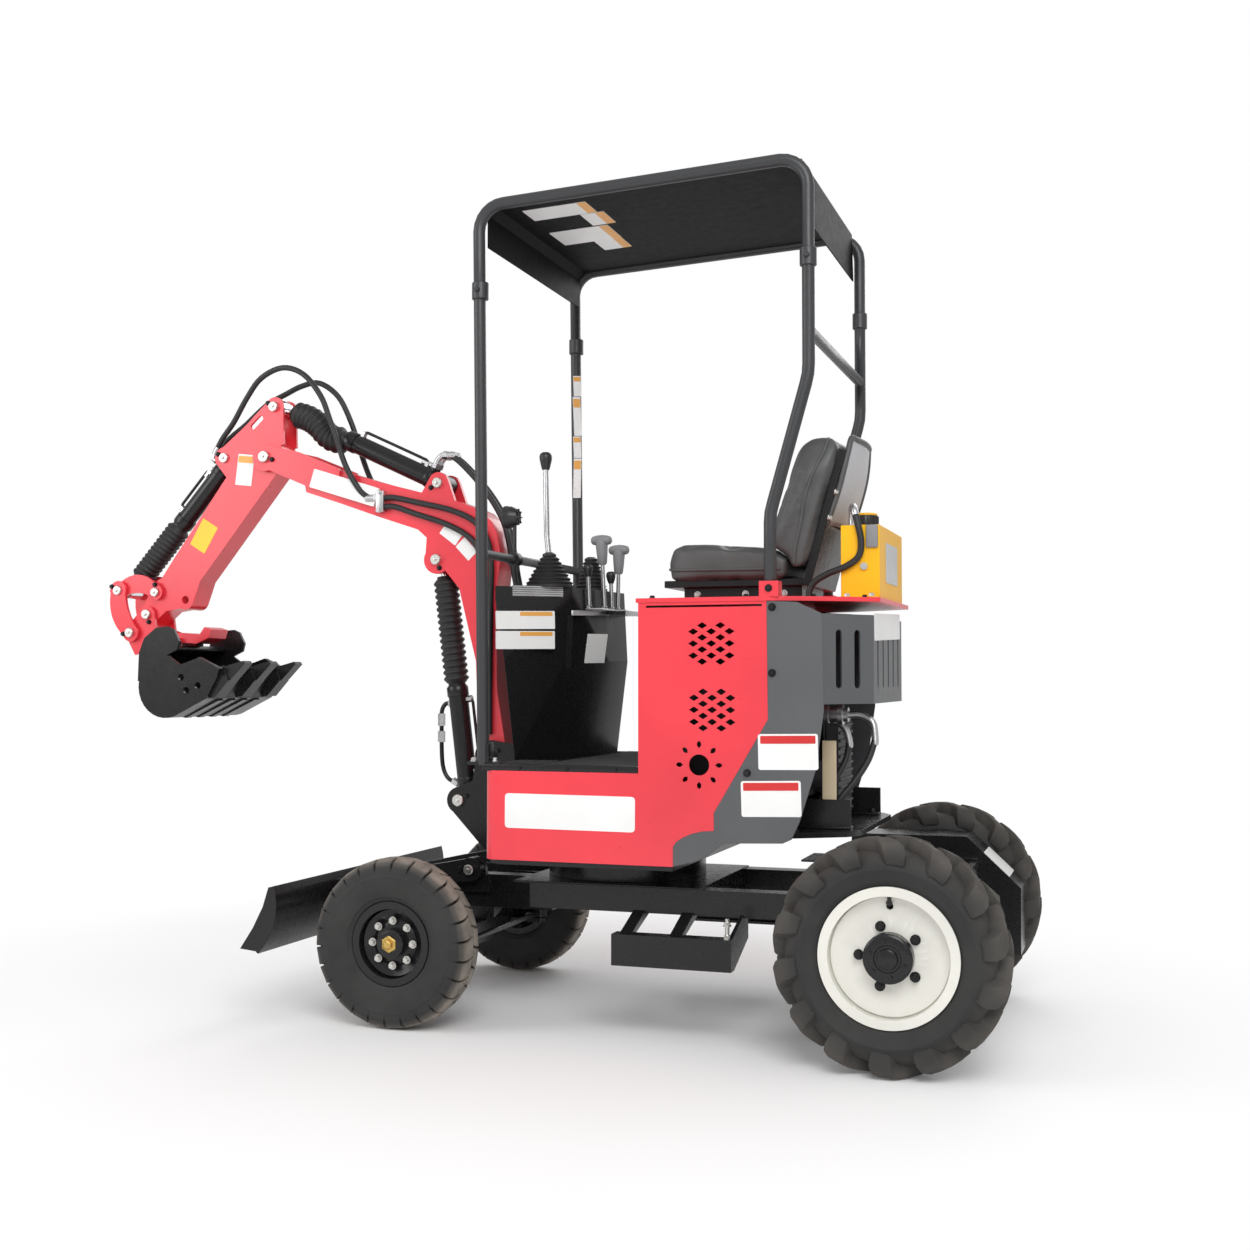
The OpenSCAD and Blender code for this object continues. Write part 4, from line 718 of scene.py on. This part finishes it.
# The console: a folded black steel housing with a ribbed alloy step on its left edge,
# a plated ledge for the short levers, and blank plates.
CONSOLE_TOP, LEDGE_TOP = 1240, 1180
dress(black_enamel, "console", edge=6, segments=4)
knob_black = finish("knob_black", (0.010, 0.010, 0.011), (0.024, 0.024, 0.025), (0.30, 0.48), (400, 0.12))
alloy = finish("alloy", (0.60, 0.60, 0.61), (0.74, 0.74, 0.75), (0.25, 0.42), (260, 0.08), 0.9)
step = bmesh.new()
for k in range(5):
    z = 1214 + k * 6.4
    rod(step, at(1160, 172, z), at(1112, 126, z), 3.4, n=10)
    rod(step, at(1112, 126, z), at(1042, 66, z), 3.4, n=10)
piece("ribbed_step", step, alloy)
ledge = bmesh.new()
box_of(ledge, (915, -292, LEDGE_TOP - 3), (1000, -148, LEDGE_TOP + 1), 1)
box_of(ledge, (913, -292, LEDGE_TOP - 16), (918.5, -148, LEDGE_TOP), 1)
box_of(ledge, (952, -148, LEDGE_TOP - 3), (1002, -14, LEDGE_TOP + 1), 1)
piece("lever_ledge", ledge, plated_steel)
bolts("console_bolts", black_bolt, 13, 8, [(at(x, y, CONSOLE_TOP), Z_AXIS) for x, y in (
    (1125, 130), (1050, 66), (1030, -250), (1150, -250), (1150, 150))])
label("console_plate_upper", "console", (496, 611, 555, 629), label_white, 2, band=label_orange, band_from=0.4)
label("console_plate_lower", "console", (496, 631, 555, 649), label_white, 2, band=label_orange, band_from=0.4)
label("console_strip", "console", (572, 610.5, 608, 615.5), plated_steel, 1, 6)
label("console_seam", "console", (566, 616, 571, 690), knob_black, 1, 3, lean=-8)
label("console_plate_small", "console", (586, 634, 606, 663), label_white, 2)

# The levers: bright rods. A long one with a black knob rises from the first of two pleated rubber
# boots, and four short ones with grey or black handles stand on the ledge.
handle_grey = finish("handle_grey", (0.20, 0.20, 0.21), (0.27, 0.27, 0.28), (0.42, 0.58), (300, 0.15))
boot_rubber = finish("boot_rubber", (0.010, 0.010, 0.010), (0.022, 0.022, 0.022), (0.50, 0.70), (300, 0.2))
stalks, knobs, grips = bmesh.new(), bmesh.new(), bmesh.new()
rod(stalks, at(1096, 40, 1330), at(1104, 40, 1400), 8.5, n=20)
rod(stalks, at(1103.9, 40, 1399), at(1108, 40, 1606), 8.5, n=20)
turned(knobs, ((0, 0), (0, 11), (10, 14), (30, 18.5), (40, 19.5), (48, 17), (53, 11), (54.5, 0)),
       at(1108, 40, 1598), Z_AXIS, X_AXIS, 28)
for x, y in ((1096, 40), (1039, -170)):
    turned(knobs, ((0, 0), (0, 21), (6, 21), (12, 11), (12, 0)), at(x, y, 1336), Z_AXIS, X_AXIS)
grip = ((-78, 0), (-78, 11), (-72, 14), (-48, 16.5), (-22, 18.5), (-8, 18.5), (2, 15), (2, 0))
bar = ((-33, 0), (-32, 8), (-28, 12.5), (-14, 16), (0, 17), (14, 16), (28, 12.5), (32, 8), (33, 0))
ball = ((-20, 0), (-20, 8), (-8, 12.5), (4, 15), (12, 14), (17, 9), (18, 0))
for y, foot_x, top_x, top_z, barred in ((-102, 970, 980, 1396, True), (-200, 961, 957, 1373, True),
                                        (-30, 993, 998, 1297, False), (-158, 966, 969, 1283, False)):
    a, b = at(foot_x, y, LEDGE_TOP), at(top_x, y, top_z)
    up = (b - a).normalized()
    rod(stalks, a, b, 6.2, n=20)
    bolt(stalks, a, up, 20, 10)
    if barred:
        turned(grips, grip, b, up, Y_AXIS)
        turned(grips, bar, b - Z_AXIS * 0.003, X_AXIS, Z_AXIS)
    else:
        turned(knobs, ball, b, up, Y_AXIS)
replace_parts(piece("lever_rods", stalks, plated_steel), "levers")
piece("lever_knobs", knobs, knob_black)
piece("lever_grips", grips, handle_grey)
dress(boot_rubber, "lever_boots", edge=1)

# The work lamp: a round black housing with cooling fins behind and a clear lens in front,
# on a stalk clamped to the cross tube.
FINS = 8
lamp_at = at(1150, 150, 1446)
dress(knob_black, "work_lamp", edge=1)
fins = bmesh.new()
for k in range(FINS):
    turn = Matrix.Translation(lamp_at) @ Matrix.Rotation(math.tau * k / FINS, 4, "X")
    bmesh.ops.create_cube(fins, size=1, matrix=turn @ Matrix.Translation((0.001, 0, 0.015))
                          @ Matrix.Diagonal((0.008, 0.0025, 0.018, 1)))
turned(fins, ((34, 33.5), (42, 33.5), (43, 31), (43, 28), (39, 28)), lamp_at, X_AXIS, Z_AXIS, 40)
piece("lamp_fins", fins, knob_black)
lens = bmesh.new()
turned(lens, ((40, 0), (41.5, 10), (41.8, 20), (41, 28.5)), lamp_at, X_AXIS, Z_AXIS, 40)
lens_white = finish("lens_white", (0.62, 0.63, 0.64), (0.76, 0.77, 0.78), (0.06, 0.14), (60, 0.3))
piece("lamp_lens", lens, lens_white)

# The seat: a moulded bucket of dark vinyl over foam, piped along its edges, on a black steel pan,
# with a pale plastic shell behind the back.
SWELL_FRAMES = 20
vinyl = finish("vinyl", (0.055, 0.056, 0.056), (0.085, 0.086, 0.086), (0.40, 0.55), (330, 0.35))
shell_grey = finish("shell_grey", (0.42, 0.42, 0.44), (0.52, 0.52, 0.54), (0.38, 0.5), (200, 0.1))
dress(black_enamel, "seat_pan", edge=3)


def shown(obj):
    """a piece as it is shown, with its modifiers"""
    return obj.evaluated_get(bpy.context.evaluated_depsgraph_get())


def stuffed(name, solid, shape, cap):
    """swells a CAD solid's copy with cloth under pressure, no further than cap; shape moves its points first"""
    bm = bmesh.new()
    bm.from_mesh(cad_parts[solid].data)
    bmesh.ops.remove_doubles(bm, verts=bm.verts, dist=0.0001)
    raw = bpy.data.meshes.new(name + "_raw")
    bm.to_mesh(raw)
    bm.free()
    obj = bpy.data.objects.new(name, raw)
    scene.collection.objects.link(obj)
    grid = obj.modifiers.new("grid", "REMESH")
    grid.mode = "VOXEL"
    grid.voxel_size = 0.007
    bpy.context.view_layer.update()
    mesh = bpy.data.meshes.new_from_object(shown(obj))
    obj.modifiers.clear()
    bm = bmesh.new()
    bm.from_mesh(mesh)
    for _ in range(14):
        bmesh.ops.smooth_vert(bm, verts=bm.verts, factor=0.5, use_axis_x=True, use_axis_y=True, use_axis_z=True)
    for v in bm.verts:
        v.co = shape(v.co)
    bm.to_mesh(mesh)
    bm.free()
    obj.data = mesh
    start = [v.co.copy() for v in mesh.vertices]
    cloth = obj.modifiers.new("cloth", "CLOTH")
    cloth.settings.use_pressure = True
    cloth.settings.uniform_pressure_force = 4
    cloth.settings.quality = 5
    cloth.settings.effector_weights.gravity = 0
    cloth.collision_settings.use_collision = False
    cloth.point_cache.frame_end = SWELL_FRAMES
    for frame in range(1, SWELL_FRAMES + 1):
        scene.frame_set(frame)
    moved = [v.co.copy() for v in shown(obj).to_mesh().vertices]
    obj.modifiers.clear()
    for v, a, b in zip(mesh.vertices, start, moved):
        d = b - a
        v.co = a + d * min(1, cap / d.length) if d.length else a
    scene.frame_set(1)
    finer = obj.modifiers.new("finer", "SUBSURF")
    finer.levels = finer.render_levels = 1
    mesh.materials.append(vinyl)
    mesh.polygons.foreach_set("use_smooth", [True] * len(mesh.polygons))
    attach(obj, "platform")
    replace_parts(obj, solid)
    return obj


def cushion_shape(p):
    """narrows the cushion's front end and dishes its top"""
    lo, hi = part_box("seat_cushion")
    t = max(0, (p.x - (hi[0] - 0.11)) / 0.11)
    u = (p.x - lo[0]) / (hi[0] - lo[0])
    y = p.y * (1 - 0.16 * t * t) * 0.96
    dish = 0.016 * max(0, 1 - (p.y / 0.15) ** 2) * math.sin(math.pi * min(1, max(0, u))) * (p.z > 1.30)
    return Vector((p.x - 0.012 * t, y, 1.249 + (p.z - 1.245) * 0.90 - dish))


def back_shape(p):
    """narrows the back's top and hollows its front"""
    t = max(0, (p.z - 1.53) / 0.115)
    y = p.y * (1 - 0.22 * t * t) * 0.96
    hollow = 0.022 * max(0, 1 - (p.y / 0.14) ** 2) * (p.x - REAR_AXLE_X > 0.265 - (p.z - 1.3) * 0.22)
    return Vector((p.x + 0.006 - hollow * 0.6, y, 1.268 + (p.z - 1.262) * 0.975))


cushion = stuffed("seat_cushion_pad", "seat_cushion", cushion_shape, 0.010)
back = stuffed("seat_back_pad", "seat_back", back_shape, 0.009)


def piping(name, obj, points):
    """a welt that lies along the skin of a soft piece"""
    mesh = shown(obj).to_mesh()
    skin = BVHTree.FromPolygons([v.co for v in mesh.vertices], [p.vertices for p in mesh.polygons])
    run = []
    for p in points:
        hit, normal, _, _ = skin.find_nearest(at(*p))
        run.append(hit + normal * 0.0012)
    tube(name, smooth_run(run, 4), 4.2, vinyl, "platform")


near_half = [(345, 222, 1270), (430, 222, 1270), (520, 222, 1271), (600, 220, 1272), (655, 210, 1273),
             (690, 180, 1274), (705, 120, 1275), (710, 40, 1276)]
piping("cushion_welt", cushion, near_half + [(x, -y, z) for x, y, z in reversed(near_half)])
for s, hand in zip(BOTH, ("left", "right")):
    piping("back_welt_" + hand, back, [(x, s * y, z) for x, y, z in (
        (316, 224, 1282), (306, 224, 1330), (292, 224, 1390), (276, 224, 1450), (258, 222, 1510),
        (242, 214, 1560), (228, 202, 1600), (222, 170, 1635), (222, 110, 1652), (222, 40, 1654),
        (222, 0, 1654))])


def behind_back(z):
    """how far forward the leaning back's rear face lies at a height"""
    return 270 - (z - 1225) * 100 / 370


shell = bmesh.new()
ROWS, COLS = 16, 18
lines = []
for i in range(ROWS + 1):
    z = 1392 + 240 * i / ROWS
    wide = 168 * (1 - 0.20 * max(0, (i / ROWS - 0.6) / 0.4) ** 2)
    row = []
    for j in range(COLS + 1):
        u = j / COLS * 2 - 1
        bulge = 17 * (1 - u * u) + 9 * math.sin(math.pi * i / ROWS)
        row.append(shell.verts.new(at(behind_back(z) + 2 - bulge, u * wide, z)))
    lines.append(row)
for a, b in zip(lines, lines[1:]):
    for j in range(COLS):
        shell.faces.new((a[j], a[j + 1], b[j + 1], b[j]))
edge = [row[0] for row in lines] + lines[-1][1:-1] + [row[-1] for row in reversed(lines)]
edge = [v.co.copy() for v in edge]
tube("seat_shell_rim", smooth_run(edge[::2] + edge[-1:], 3), 8.5, vinyl, "platform")
wall = piece("seat_shell", shell, shell_grey, crease=60).modifiers.new("wall", "SOLIDIFY")
wall.thickness = 0.004
wall.offset = 0
bolts("seat_bolts", bolt_zinc, 16, 10,
      [(at(x, s * 150, 1206), Y_AXIS * s) for s in BOTH for x in (350, 460, 600)]
      + [(at(behind_back(z), s * 176, z), Vector((-0.96, 0, -0.26))) for s in BOTH for z in (1410, 1480)])

# The tank behind the seat: a welded yellow steel box with rounded edges, a black screw cap
# and a blank plate on its back.
RIDGES = 20
yellow_enamel = enamel("yellow_enamel", (0.90, 0.47, 0.010), rough=0.40, coat=0.05, shine=0.25)
dress(yellow_enamel, "tank", edge=9, segments=4)
cap_bm = bmesh.new()
turned(cap_bm, ((0, 33), (4, 34), (30, 34), (36, 31), (40.5, 24), (40.8, 0)), at(130, 100, TANK_TOP), Z_AXIS,
       X_AXIS, 40)
for k in range(RIDGES):
    a = math.tau * k / RIDGES
    off = 0.034 * Vector((math.cos(a), math.sin(a), 0))
    rod(cap_bm, at(130, 100, TANK_TOP + 3) + off, at(130, 100, TANK_TOP + 31) + off, 2.2, n=8)
piece("tank_cap", cap_bm, knob_black)
plate = bmesh.new()
slab(plate, at(75.8, 0, 1288), Y_AXIS, -Z_AXIS, 0.20, 0.11, 0.0012, 0.006)
piece("tank_plate", plate, label_grey)
tank_bolts, feet = bmesh.new(), bmesh.new()
for s in BOTH:
    for x in (96, 162):
        bolt(tank_bolts, at(x, s * 214, DECK_TOP + 4), Z_AXIS, 16, 10)
    rod(tank_bolts, at(118, s * 200, 1272), at(118, s * 206, 1272), 10, n=24)
    box_of(feet, (80, s * 215 - 17, DECK_TOP - 0.5), (178, s * 215 + 17, DECK_TOP + 4.5), 1)
piece("tank_bolts", tank_bolts, bolt_zinc)
gauge = bmesh.new()
box_of(gauge, (80, 198, TANK_TOP - 63), (112, 208, TANK_TOP - 1), 3)
piece("tank_gauge", gauge, handle_grey)
piece("tank_feet", feet, yellow_enamel)

# The canopy: charcoal steel tube joined by sleeves, and a thin black sheet roof with a lip
# at the front and the back.
POST_Y = 384
charcoal = enamel("charcoal", (0.031, 0.032, 0.035), rough=0.42, coat=0.1)
dress(charcoal, "canopy_frame", edge=0)
roof_black = enamel("roof_black", (0.006, 0.006, 0.007), rough=0.55, coat=0.0, ripple=0.02, shine=0.08)
dress(roof_black, "canopy_roof", edge=1)
sleeves = bmesh.new()
for s in BOTH:
    for x, z0, r in ((1170, 2040, 23), (229, 2054, 22)):
        turned(sleeves, ((-1, 16.5), (-1, r - 1), (1, r + 0.6), (45, r + 0.6), (47, r - 1), (47, 16.5)),
               at(x, s * POST_Y, z0), Z_AXIS, X_AXIS, 40)
        bolt(sleeves, at(x, s * (POST_Y + r - 1), z0 + 23), Y_AXIS * s, 14, 9)
piece("canopy_sleeves", sleeves, charcoal)
bolts("roof_bolts", black_bolt, 14, 7, [(at(x, s * 352, 2306.5 + 40 * (1174 - x) / 945), Z_AXIS)
                                        for s in BOTH for x in (330, 560, 800, 1040)])
along_roof = Vector((-0.945, 0, 0.040)).normalized()
for k, (front_px, rear_px) in enumerate((
        ((522, 211), (597, 211.5)), ((580, 214.5), (616, 222)), ((549, 233), (622, 237)),
        ((594, 241), (632, 246)))):
    front, _ = look("canopy_roof", *front_px)
    rear, _ = look("canopy_roof", *rear_px)
    middle = (front + rear) / 2
    span = abs((rear - front).dot(along_roof))
    deep = abs(rear.y - front.y)
    sheet, stripe = bmesh.new(), bmesh.new()
    slab(sheet, middle, along_roof, Y_AXIS, span, deep, 0.0012, 0.003)
    slab(stripe, middle + along_roof * (span / 2 - 0.014), along_roof, Y_AXIS, 0.027, deep * 0.98, 0.0015,
         0.002)
    piece("roof_plate_%d" % k, sheet, label_white)
    piece("roof_plate_%d_band" % k, stripe, label_orange)
for k, (y0, y1) in enumerate(((376, 396.4), (397, 435.9), (436.5, 458), (458.6, 498))):
    label("post_plate_%d" % k, "canopy_frame", (573.5, y0, 581, y1), label_white, 1, band=label_orange)

# The boom: a welded red box, bent at the knee, with the arm's cheeks at its tip. Pins end in plated
# caps that a black bolt keeps from turning.
dress(red_enamel, "boom", "dipper", "coupler", "rocker", "bucket_link", edge=2.2, segments=3)
# a cylinder's base pin, the pin of its rod's eye, and the length of its barrel
CYLINDERS = {"boom": ((1375, 600), (1465, 1335), 350), "arm": ((1462, 1572), (2047, 1843), 376),
             "bucket": ((2233, 1686), (2619, 1260), 286)}
# a pin's place, how far out its cap stands, how high and wide the cap is, and where its keeper sits, in degrees
PINS = {"boom": ((1465, 1335, 50, 14, 16.5, 200), (1462, 1572, 50, 12, 16, 120)),
        "arm": ((2047, 1843, 44, 14, 16, 60), (2070, 1680, 62, 14, 18, 250), (2483, 1252, 59, 9, 14.5, 0),
                (2233, 1686, 44, 10, 16, 60)),
        "bucket": ((2516, 1180, 57, 11, 16, 200),), "rocker": ((2619, 1260, 73, 9, 15, 60),),
        "link": ((2569, 1120, 73, 11, 15.5, 100),),
        "platform": ((1275, 735, 76, 12, 22, 300), (1375, 600, 76, 12, 18, 300)),
        "blade": ((1281, 410, 207, 8, 15, 80),)}
for body, pins in PINS.items():
    bright, dark = bmesh.new(), bmesh.new()
    for x, z, y, h, r, lean in pins:
        for s in BOTH:
            foot = at(x, s * y, z)
            turned(bright, ((-2, 0), (-2, r), (h - 2, r), (h, r - 2), (h, 5.2), (h + 3, 4.5), (h + 4, 0)), foot,
                   Y_AXIS * s, Z_AXIS, 32)
            bolt(dark, foot + around(math.radians(lean)) * (r + 11) / 1000, Y_AXIS * s, 13, 9)
    piece(body + "_pin_caps", bright, bolt_zinc, body)
    piece(body + "_pin_keepers", dark, black_bolt, body)
clamps = bmesh.new()
for s in BOTH:
    box_of(clamps, (1638.5, s * 61 - 12.5, 1486.5), (1665.2, s * 61 + 12.5, 1553.5), 2)
for s in BOTH:
    for z in (1492, 1548):
        bolt(clamps, at(1652, s * 72, z), Y_AXIS * s, 12, 8)
piece("hose_clamps", clamps, plated_steel, "boom")
label("boom_plate", "boom", (312, 478.5, 379, 497.5), label_white, 4, 12.5, lean=17, body="boom")
label("knee_plate_a", "boom", (441, 527.5, 461, 540.5), label_white, 2, lean=38, body="boom")
label("knee_plate_b", "boom", (457, 542.5, 476, 555.5), label_white, 2, lean=48, body="boom")
label("arm_plate_a", "dipper", (237, 454.5, 253, 485.5), label_white, 2, band=label_orange, lean=5, body="arm")
label("arm_plate_b", "dipper", (195.3, 521.5, 212.7, 550.5), label_yellow, 3, lean=33.7, body="arm")

# The cylinders: black enamelled barrels with plated glands, polished rods under ribbed rubber bellows,
# and a black pipe along each barrel.
chrome = finish("chrome", (0.72, 0.72, 0.73), (0.80, 0.80, 0.81), (0.05, 0.12), (800, 0.02), 1.0)
bellows_rubber = finish("bellows_rubber", (0.009, 0.009, 0.010), (0.019, 0.019, 0.020), (0.45, 0.66),
                        (300, 0.2))
dress(black_enamel, "boom_barrel", "arm_barrel", "bucket_barrel", edge=1.5)
dress(chrome, "boom_rod", "arm_rod", "bucket_rod", edge=1)


def stands(name):
    """a cylinder's base, its way and the way up from it, its whole length and its barrel's, in metres"""
    base, eye, barrel = CYLINDERS[name]
    a, b = at(base[0], 0, base[1]), at(eye[0], 0, eye[1])
    way = (b - a).normalized()
    return a, way, Vector((-way.z, 0, way.x)), (b - a).length, barrel / 1000


def bellows(name, folds, r, sag):
    """pleated rubber over a rod, from the end of the barrel to the rod's eye"""
    a, way, up, whole, x0 = stands(name)
    x1 = whole - 0.050
    end = (x1 - x0) * 1000
    steps = [(0, 26), (8, 27), (10, 31)]
    for k in range(folds):
        for t, sink in ((0, 7), (0.16, 4.5), (0.34, 0.8), (0.5, 0), (0.66, 0.8), (0.84, 4.5)):
            steps.append((12 + (end - 24) * (k + t) / folds, r - sink))
    steps += [(end - 12, r - 7), (end - 10, 31), (end - 8, 27), (end, 26)]
    line = []
    for d, _ in steps:
        t = d / end
        drop = -sag / 1000 * math.sin(math.tau * t) * (1 if t < 0.5 else 0.55)
        line.append(a + way * (x0 + d / 1000) + up * drop)
    obj = tube(name + "_bellows_sleeve", line, r, bellows_rubber, radii=[q / r for _, q in steps], sides=10)
    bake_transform(obj)
    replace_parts(obj, name + "_bellows")


bellows("boom", 16, 39, 0)
bellows("arm", 11, 43, 17)
bellows("bucket", 13, 39, 0)
for name in CYLINDERS:
    a, way, up, _, length = stands(name)
    body = name + "_cylinder"
    ring = bmesh.new()
    far_end = length * 1000
    turned(ring, [(far_end - d, r) for d, r in ((34, 29.8), (34, 32.2), (32, 33.2), (6, 33.2), (4, 32.2),
                                                (4, 29.8))],
           a, way, Y_AXIS, 44)
    turned(ring, ((46, 29.8), (46, 31.8), (48, 32.4), (62, 32.4), (64, 31.8), (64, 29.8)), a, way, Y_AXIS, 44)
    piece(name + "_rings", ring, black_enamel, body)

    def beside(x, z):
        """a point along the barrel and above its middle"""
        return a + way * x + up * z

    tube(name + "_pipe", smooth_run([beside(x, z) for x, z in (
        (0.082, 0.036), (0.088, 0.0455), (0.110, 0.0470), (length - 0.085, 0.0470), (length - 0.054, 0.0460),
        (length - 0.046, 0.0380))], 4), 4.8, black_enamel, body)
    nuts = bmesh.new()
    rod(nuts, beside(length - 0.046, 0.028), beside(length - 0.046, 0.046), 10.8, n=6)
    rod(nuts, beside(0.082, 0.027), beside(0.082, 0.042), 10.8, n=6)
    rod(nuts, beside(0.066, 0.0385), beside(0.104, 0.0385), 8.2, n=6)
    piece(name + "_pipe_nuts", nuts, plated_steel, body)
tube("boom_feed_pipe", smooth_run([at(x, 0, z) for x, z in (
    (1436, 892), (1456, 890), (1468, 872), (1470, 840), (1469, 740), (1463, 690), (1446, 660),
    (1420, 648))]), 6.8,
     black_enamel, "boom_cylinder")
feed_nuts = bmesh.new()
for x0, z0, x1, z1 in ((1470, 860, 1470, 822), (1470, 806, 1470, 772), (1444, 890, 1428, 893),
                       (1430, 654, 1412, 644)):
    rod(feed_nuts, at(x0, 0, z0), at(x1, 0, z1), 11.5, n=6)
piece("boom_feed_nuts", feed_nuts, plated_steel, "boom_cylinder")

# The foot step's eye bolt: a plated stud with two nuts, screwed into the step.
step_bolt = bmesh.new()
rod(step_bolt, at(450, 395, 280), at(450, 395, 338), 6, n=16)
for z in (318, 284):
    bolt(step_bolt, at(450, 395, z), Z_AXIS, 18, 12)
piece("step_bolt", step_bolt, bolt_zinc, "chassis")

# The mudguards: steel sheet folded over each rear tyre's inner half, with a web on the inner side that is
# welded to the rail, and a blank plate on the right one.
GUARD_IN, GUARD_OUT, GUARD_TOP = 275, 436, 505
fold_high, fold_low = (-97, GUARD_TOP), (-250, 361)


def plate_y(bm, outline, y0, y1):
    """a flat plate with an outline in x and z, in millimetres, between two planes across y"""
    one = [bm.verts.new(at(x, y0, z)) for x, z in outline]
    two = [bm.verts.new(at(x, y1, z)) for x, z in outline]
    bm.faces.new(one)
    bm.faces.new(two)
    for k in range(len(outline)):
        bm.faces.new((one[k - 1], one[k], two[k], two[k - 1]))


guards = bmesh.new()
for s in BOTH:
    plate_y(guards, ((243, GUARD_TOP), fold_high, fold_low, (-249, 168), (-244, 168), (-245, 363),
                     (-95, 500), (243, 500)),
            s * GUARD_IN, s * GUARD_OUT)
    plate_y(guards, ((243, 504), (-96, 504), (-249, 360), (-248, 169), (-192, 169), (-192, 334), (-70, 440),
                     (-70, 410), (170, 410), (200, 470), (243, 470)), s * (GUARD_IN + 0.2), s * (GUARD_IN + 5))
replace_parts(piece("guard_sheets", guards, black_enamel, "chassis"), "mudguards")
guard_plate = bmesh.new()
fall = Vector((fold_low[0] - fold_high[0], 0, fold_low[1] - fold_high[1])).normalized()
slab(guard_plate, at(-180.8, -(GUARD_IN + GUARD_OUT) / 2, 426.1), Y_AXIS, fall, 0.150, 0.100, 0.0022, 0.004)
piece("guard_plate", guard_plate, label_white, "chassis")

# The blade's end plates: flat steel wings, welded on, that close the hollow of the blade at both ends.
WING_T = 8
wings = bmesh.new()
blade_low, blade_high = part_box("blade")
arc = [math.radians(a) for a in range(163, 227, 7)]
outline = [(1910 + 179 * math.cos(a), 330 + 179 * math.sin(a)) for a in arc]
outline += [(1836, 205), (1796, 264), (1764, 325), (1746, 381)]
for y, s in ((blade_high[1] * 1000 - 0.4, 1), (blade_low[1] * 1000 + 0.4, -1)):
    plate_y(wings, outline, y, y - s * WING_T)
piece("blade_wings", wings, black_enamel, "blade")

# The bucket: a black steel digging bucket with bolts along its back.
dress(black_enamel, "bucket", edge=2, segments=2)
bolts("bucket_bolts", black_bolt, 16, 10, [(at(2150, y + dy, 998), Vector((-0.25, 0, 0.97)))
                                           for y in (-150, 0, 150) for dy in (-14, 14)], "bucket")
